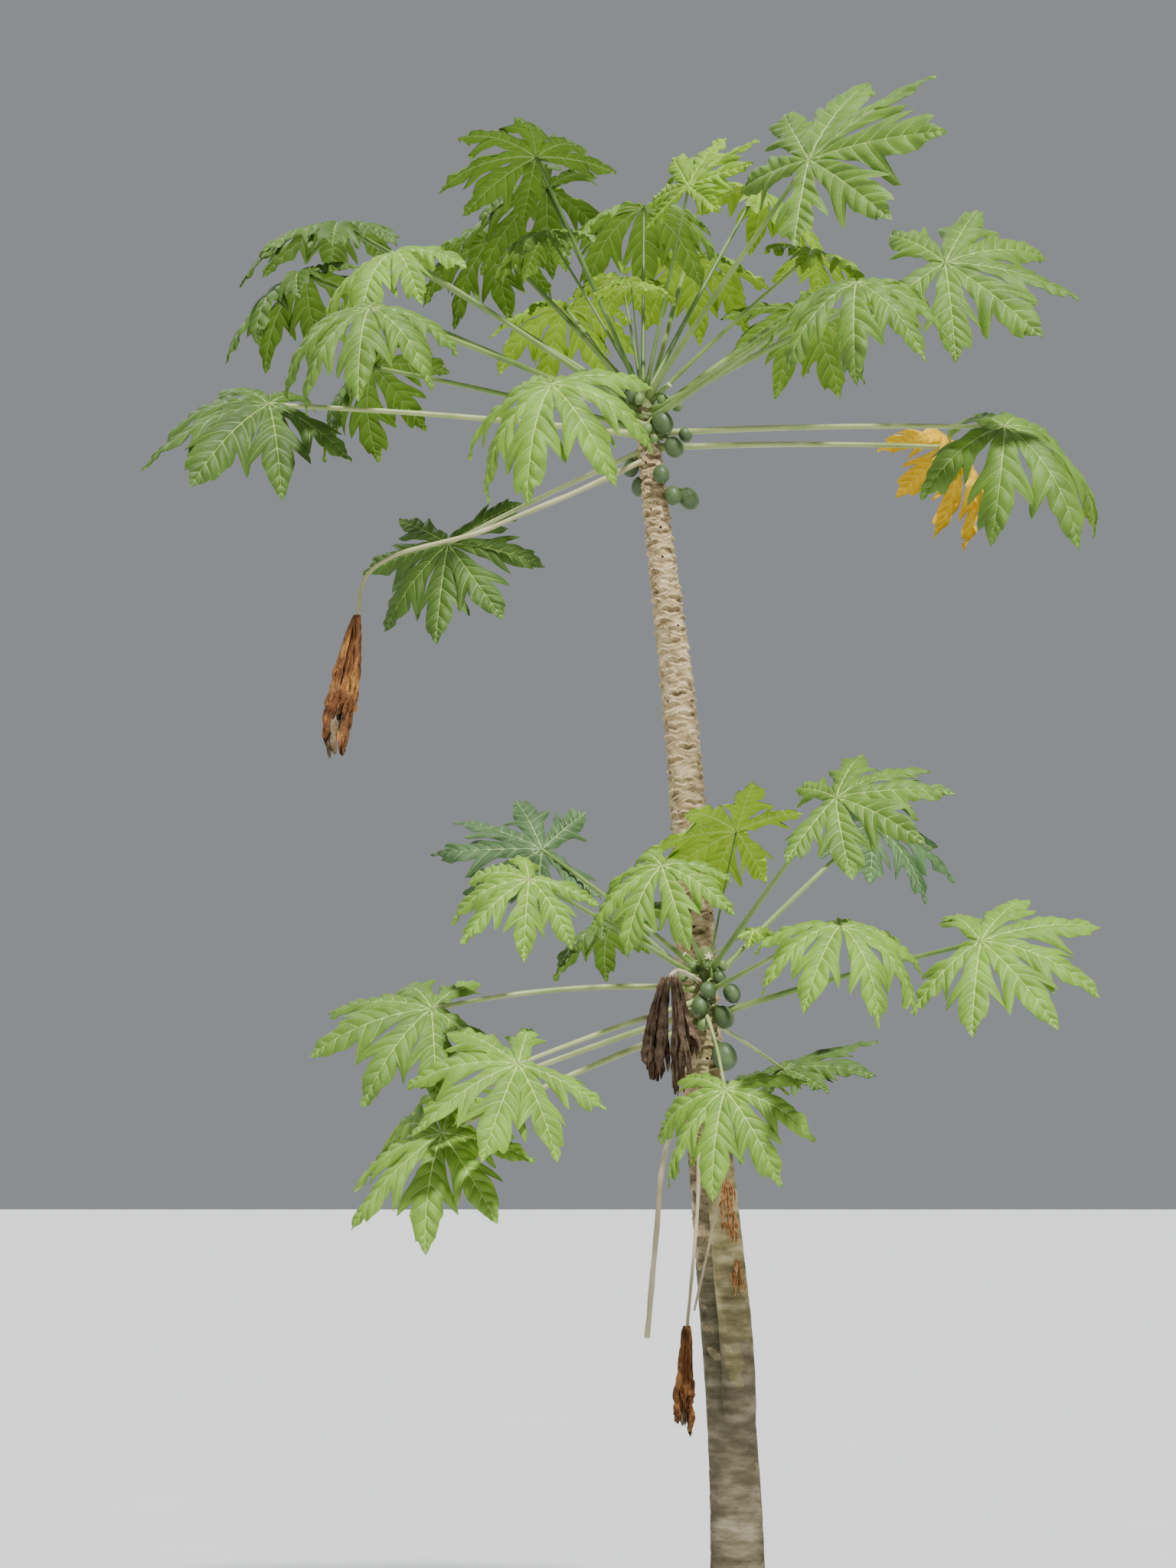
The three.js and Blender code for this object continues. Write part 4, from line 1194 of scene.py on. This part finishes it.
def make_cluster(cluster, node):
    stem, heading, height, fruits = cluster
    ripe, green, tip, young, flower = range(5)
    mesh = Mesh()
    outward = direction(heading)
    core = stem_middle(stem, height)
    radius = stem_radius(stem, height)
    knot = core + outward * (radius + KNOT_REACH)
    add_fruit_stalk(mesh, core + outward * radius * 0.7, knot, green)
    for fruit_heading, fruit_height, out, length in fruits:
        centre = stem_middle(stem, fruit_height) + direction(fruit_heading) * out
        axis = direction(fruit_heading, -FRUIT_DROOP)
        cap = centre - axis * length * 0.47
        mesh.skin(fruit_rings(centre, axis, length), young if length < YOUNG_FRUIT else ripe)
        add_fruit_stalk(mesh, knot, cap, green)
        mesh.skin(knob_rings(centre + axis * length * 0.485, axis, *FRUIT_TIP), tip)
        mesh.skin(knob_rings(cap, -axis, *FRUIT_CAP), green)
    for flower_node, place, axis, size in FLOWERS:
        if flower_node == node:
            add_flower(mesh, Vector(place), Vector(axis).normalized(), size, flower)
            add_fruit_stalk(mesh, knot, Vector(place), green)
    looks = ("fruit_green", "stalk_green", "fruit_tip", "fruit_light", "flower_cream")
    mesh.add(node + "_fruit", looks, node, "fruit")


# Camera, light and floor

def make_camera():
    data = bpy.data.cameras.new("camera")
    data.lens = CAMERA_LENS
    data.sensor_width = CAMERA_SENSOR
    camera = place_in_scene("camera", data)
    camera.location = CAMERA_PLACE
    camera.rotation_euler = (math.radians(90 + CAMERA_RISE), 0, 0)
    bpy.context.scene.camera = camera


def make_sun(name, place, softness, strength):
    """A far lamp that shines from a place towards the trunk's foot."""
    data = bpy.data.lights.new(name, "SUN")
    data.angle = math.radians(softness)
    data.energy = strength
    lamp = place_in_scene(name, data)
    lamp.location = place
    lamp.rotation_euler = (-Vector(place)).to_track_quat("-Z", "Y").to_euler()


def make_sky():
    world = bpy.data.worlds.new("soft_light")
    world.use_nodes = True
    background = world.node_tree.nodes["Background"]
    background.inputs["Color"].default_value = SKY_COLOUR
    background.inputs["Strength"].default_value = SKY_STRENGTH
    bpy.context.scene.world = world


def make_floor():
    half = FLOOR_HALF_WIDTH
    mesh = bpy.data.meshes.new("floor")
    corners = [(-half, -half, 0), (half, -half, 0), (half, half, 0), (-half, half, 0)]
    mesh.from_pydata(corners, [], [(0, 1, 2, 3)])
    mesh.materials.append(surfaces["floor_pale"])
    floor = place_in_scene("floor", mesh)


make_camera()
make_sky()
make_sun("key", (2.0, -5.4, 9.0), softness=5, strength=6.0)
make_sun("rim", (-4.0, 5.0, 7.0), softness=25, strength=0.9)
make_floor()

make_trunk()
make_side_stem()
for number, leaf in enumerate(UPPER_LEAVES, start=1):
    make_leaf(leaf, "trunk", f"leaf_upper_{number:02d}", 100 + number)
for number, leaf in enumerate(LOWER_LEAVES, start=1):
    make_leaf(leaf, "side", f"leaf_lower_{number:02d}", 200 + number)
for number, dead in enumerate(DEAD_LEAVES, start=1):
    make_dead_leaf(dead, number)
for number, cluster in enumerate(FRUIT_CLUSTERS, start=1):
    make_cluster(cluster, f"fruit_{number:02d}")

bpy.context.view_layer.update()
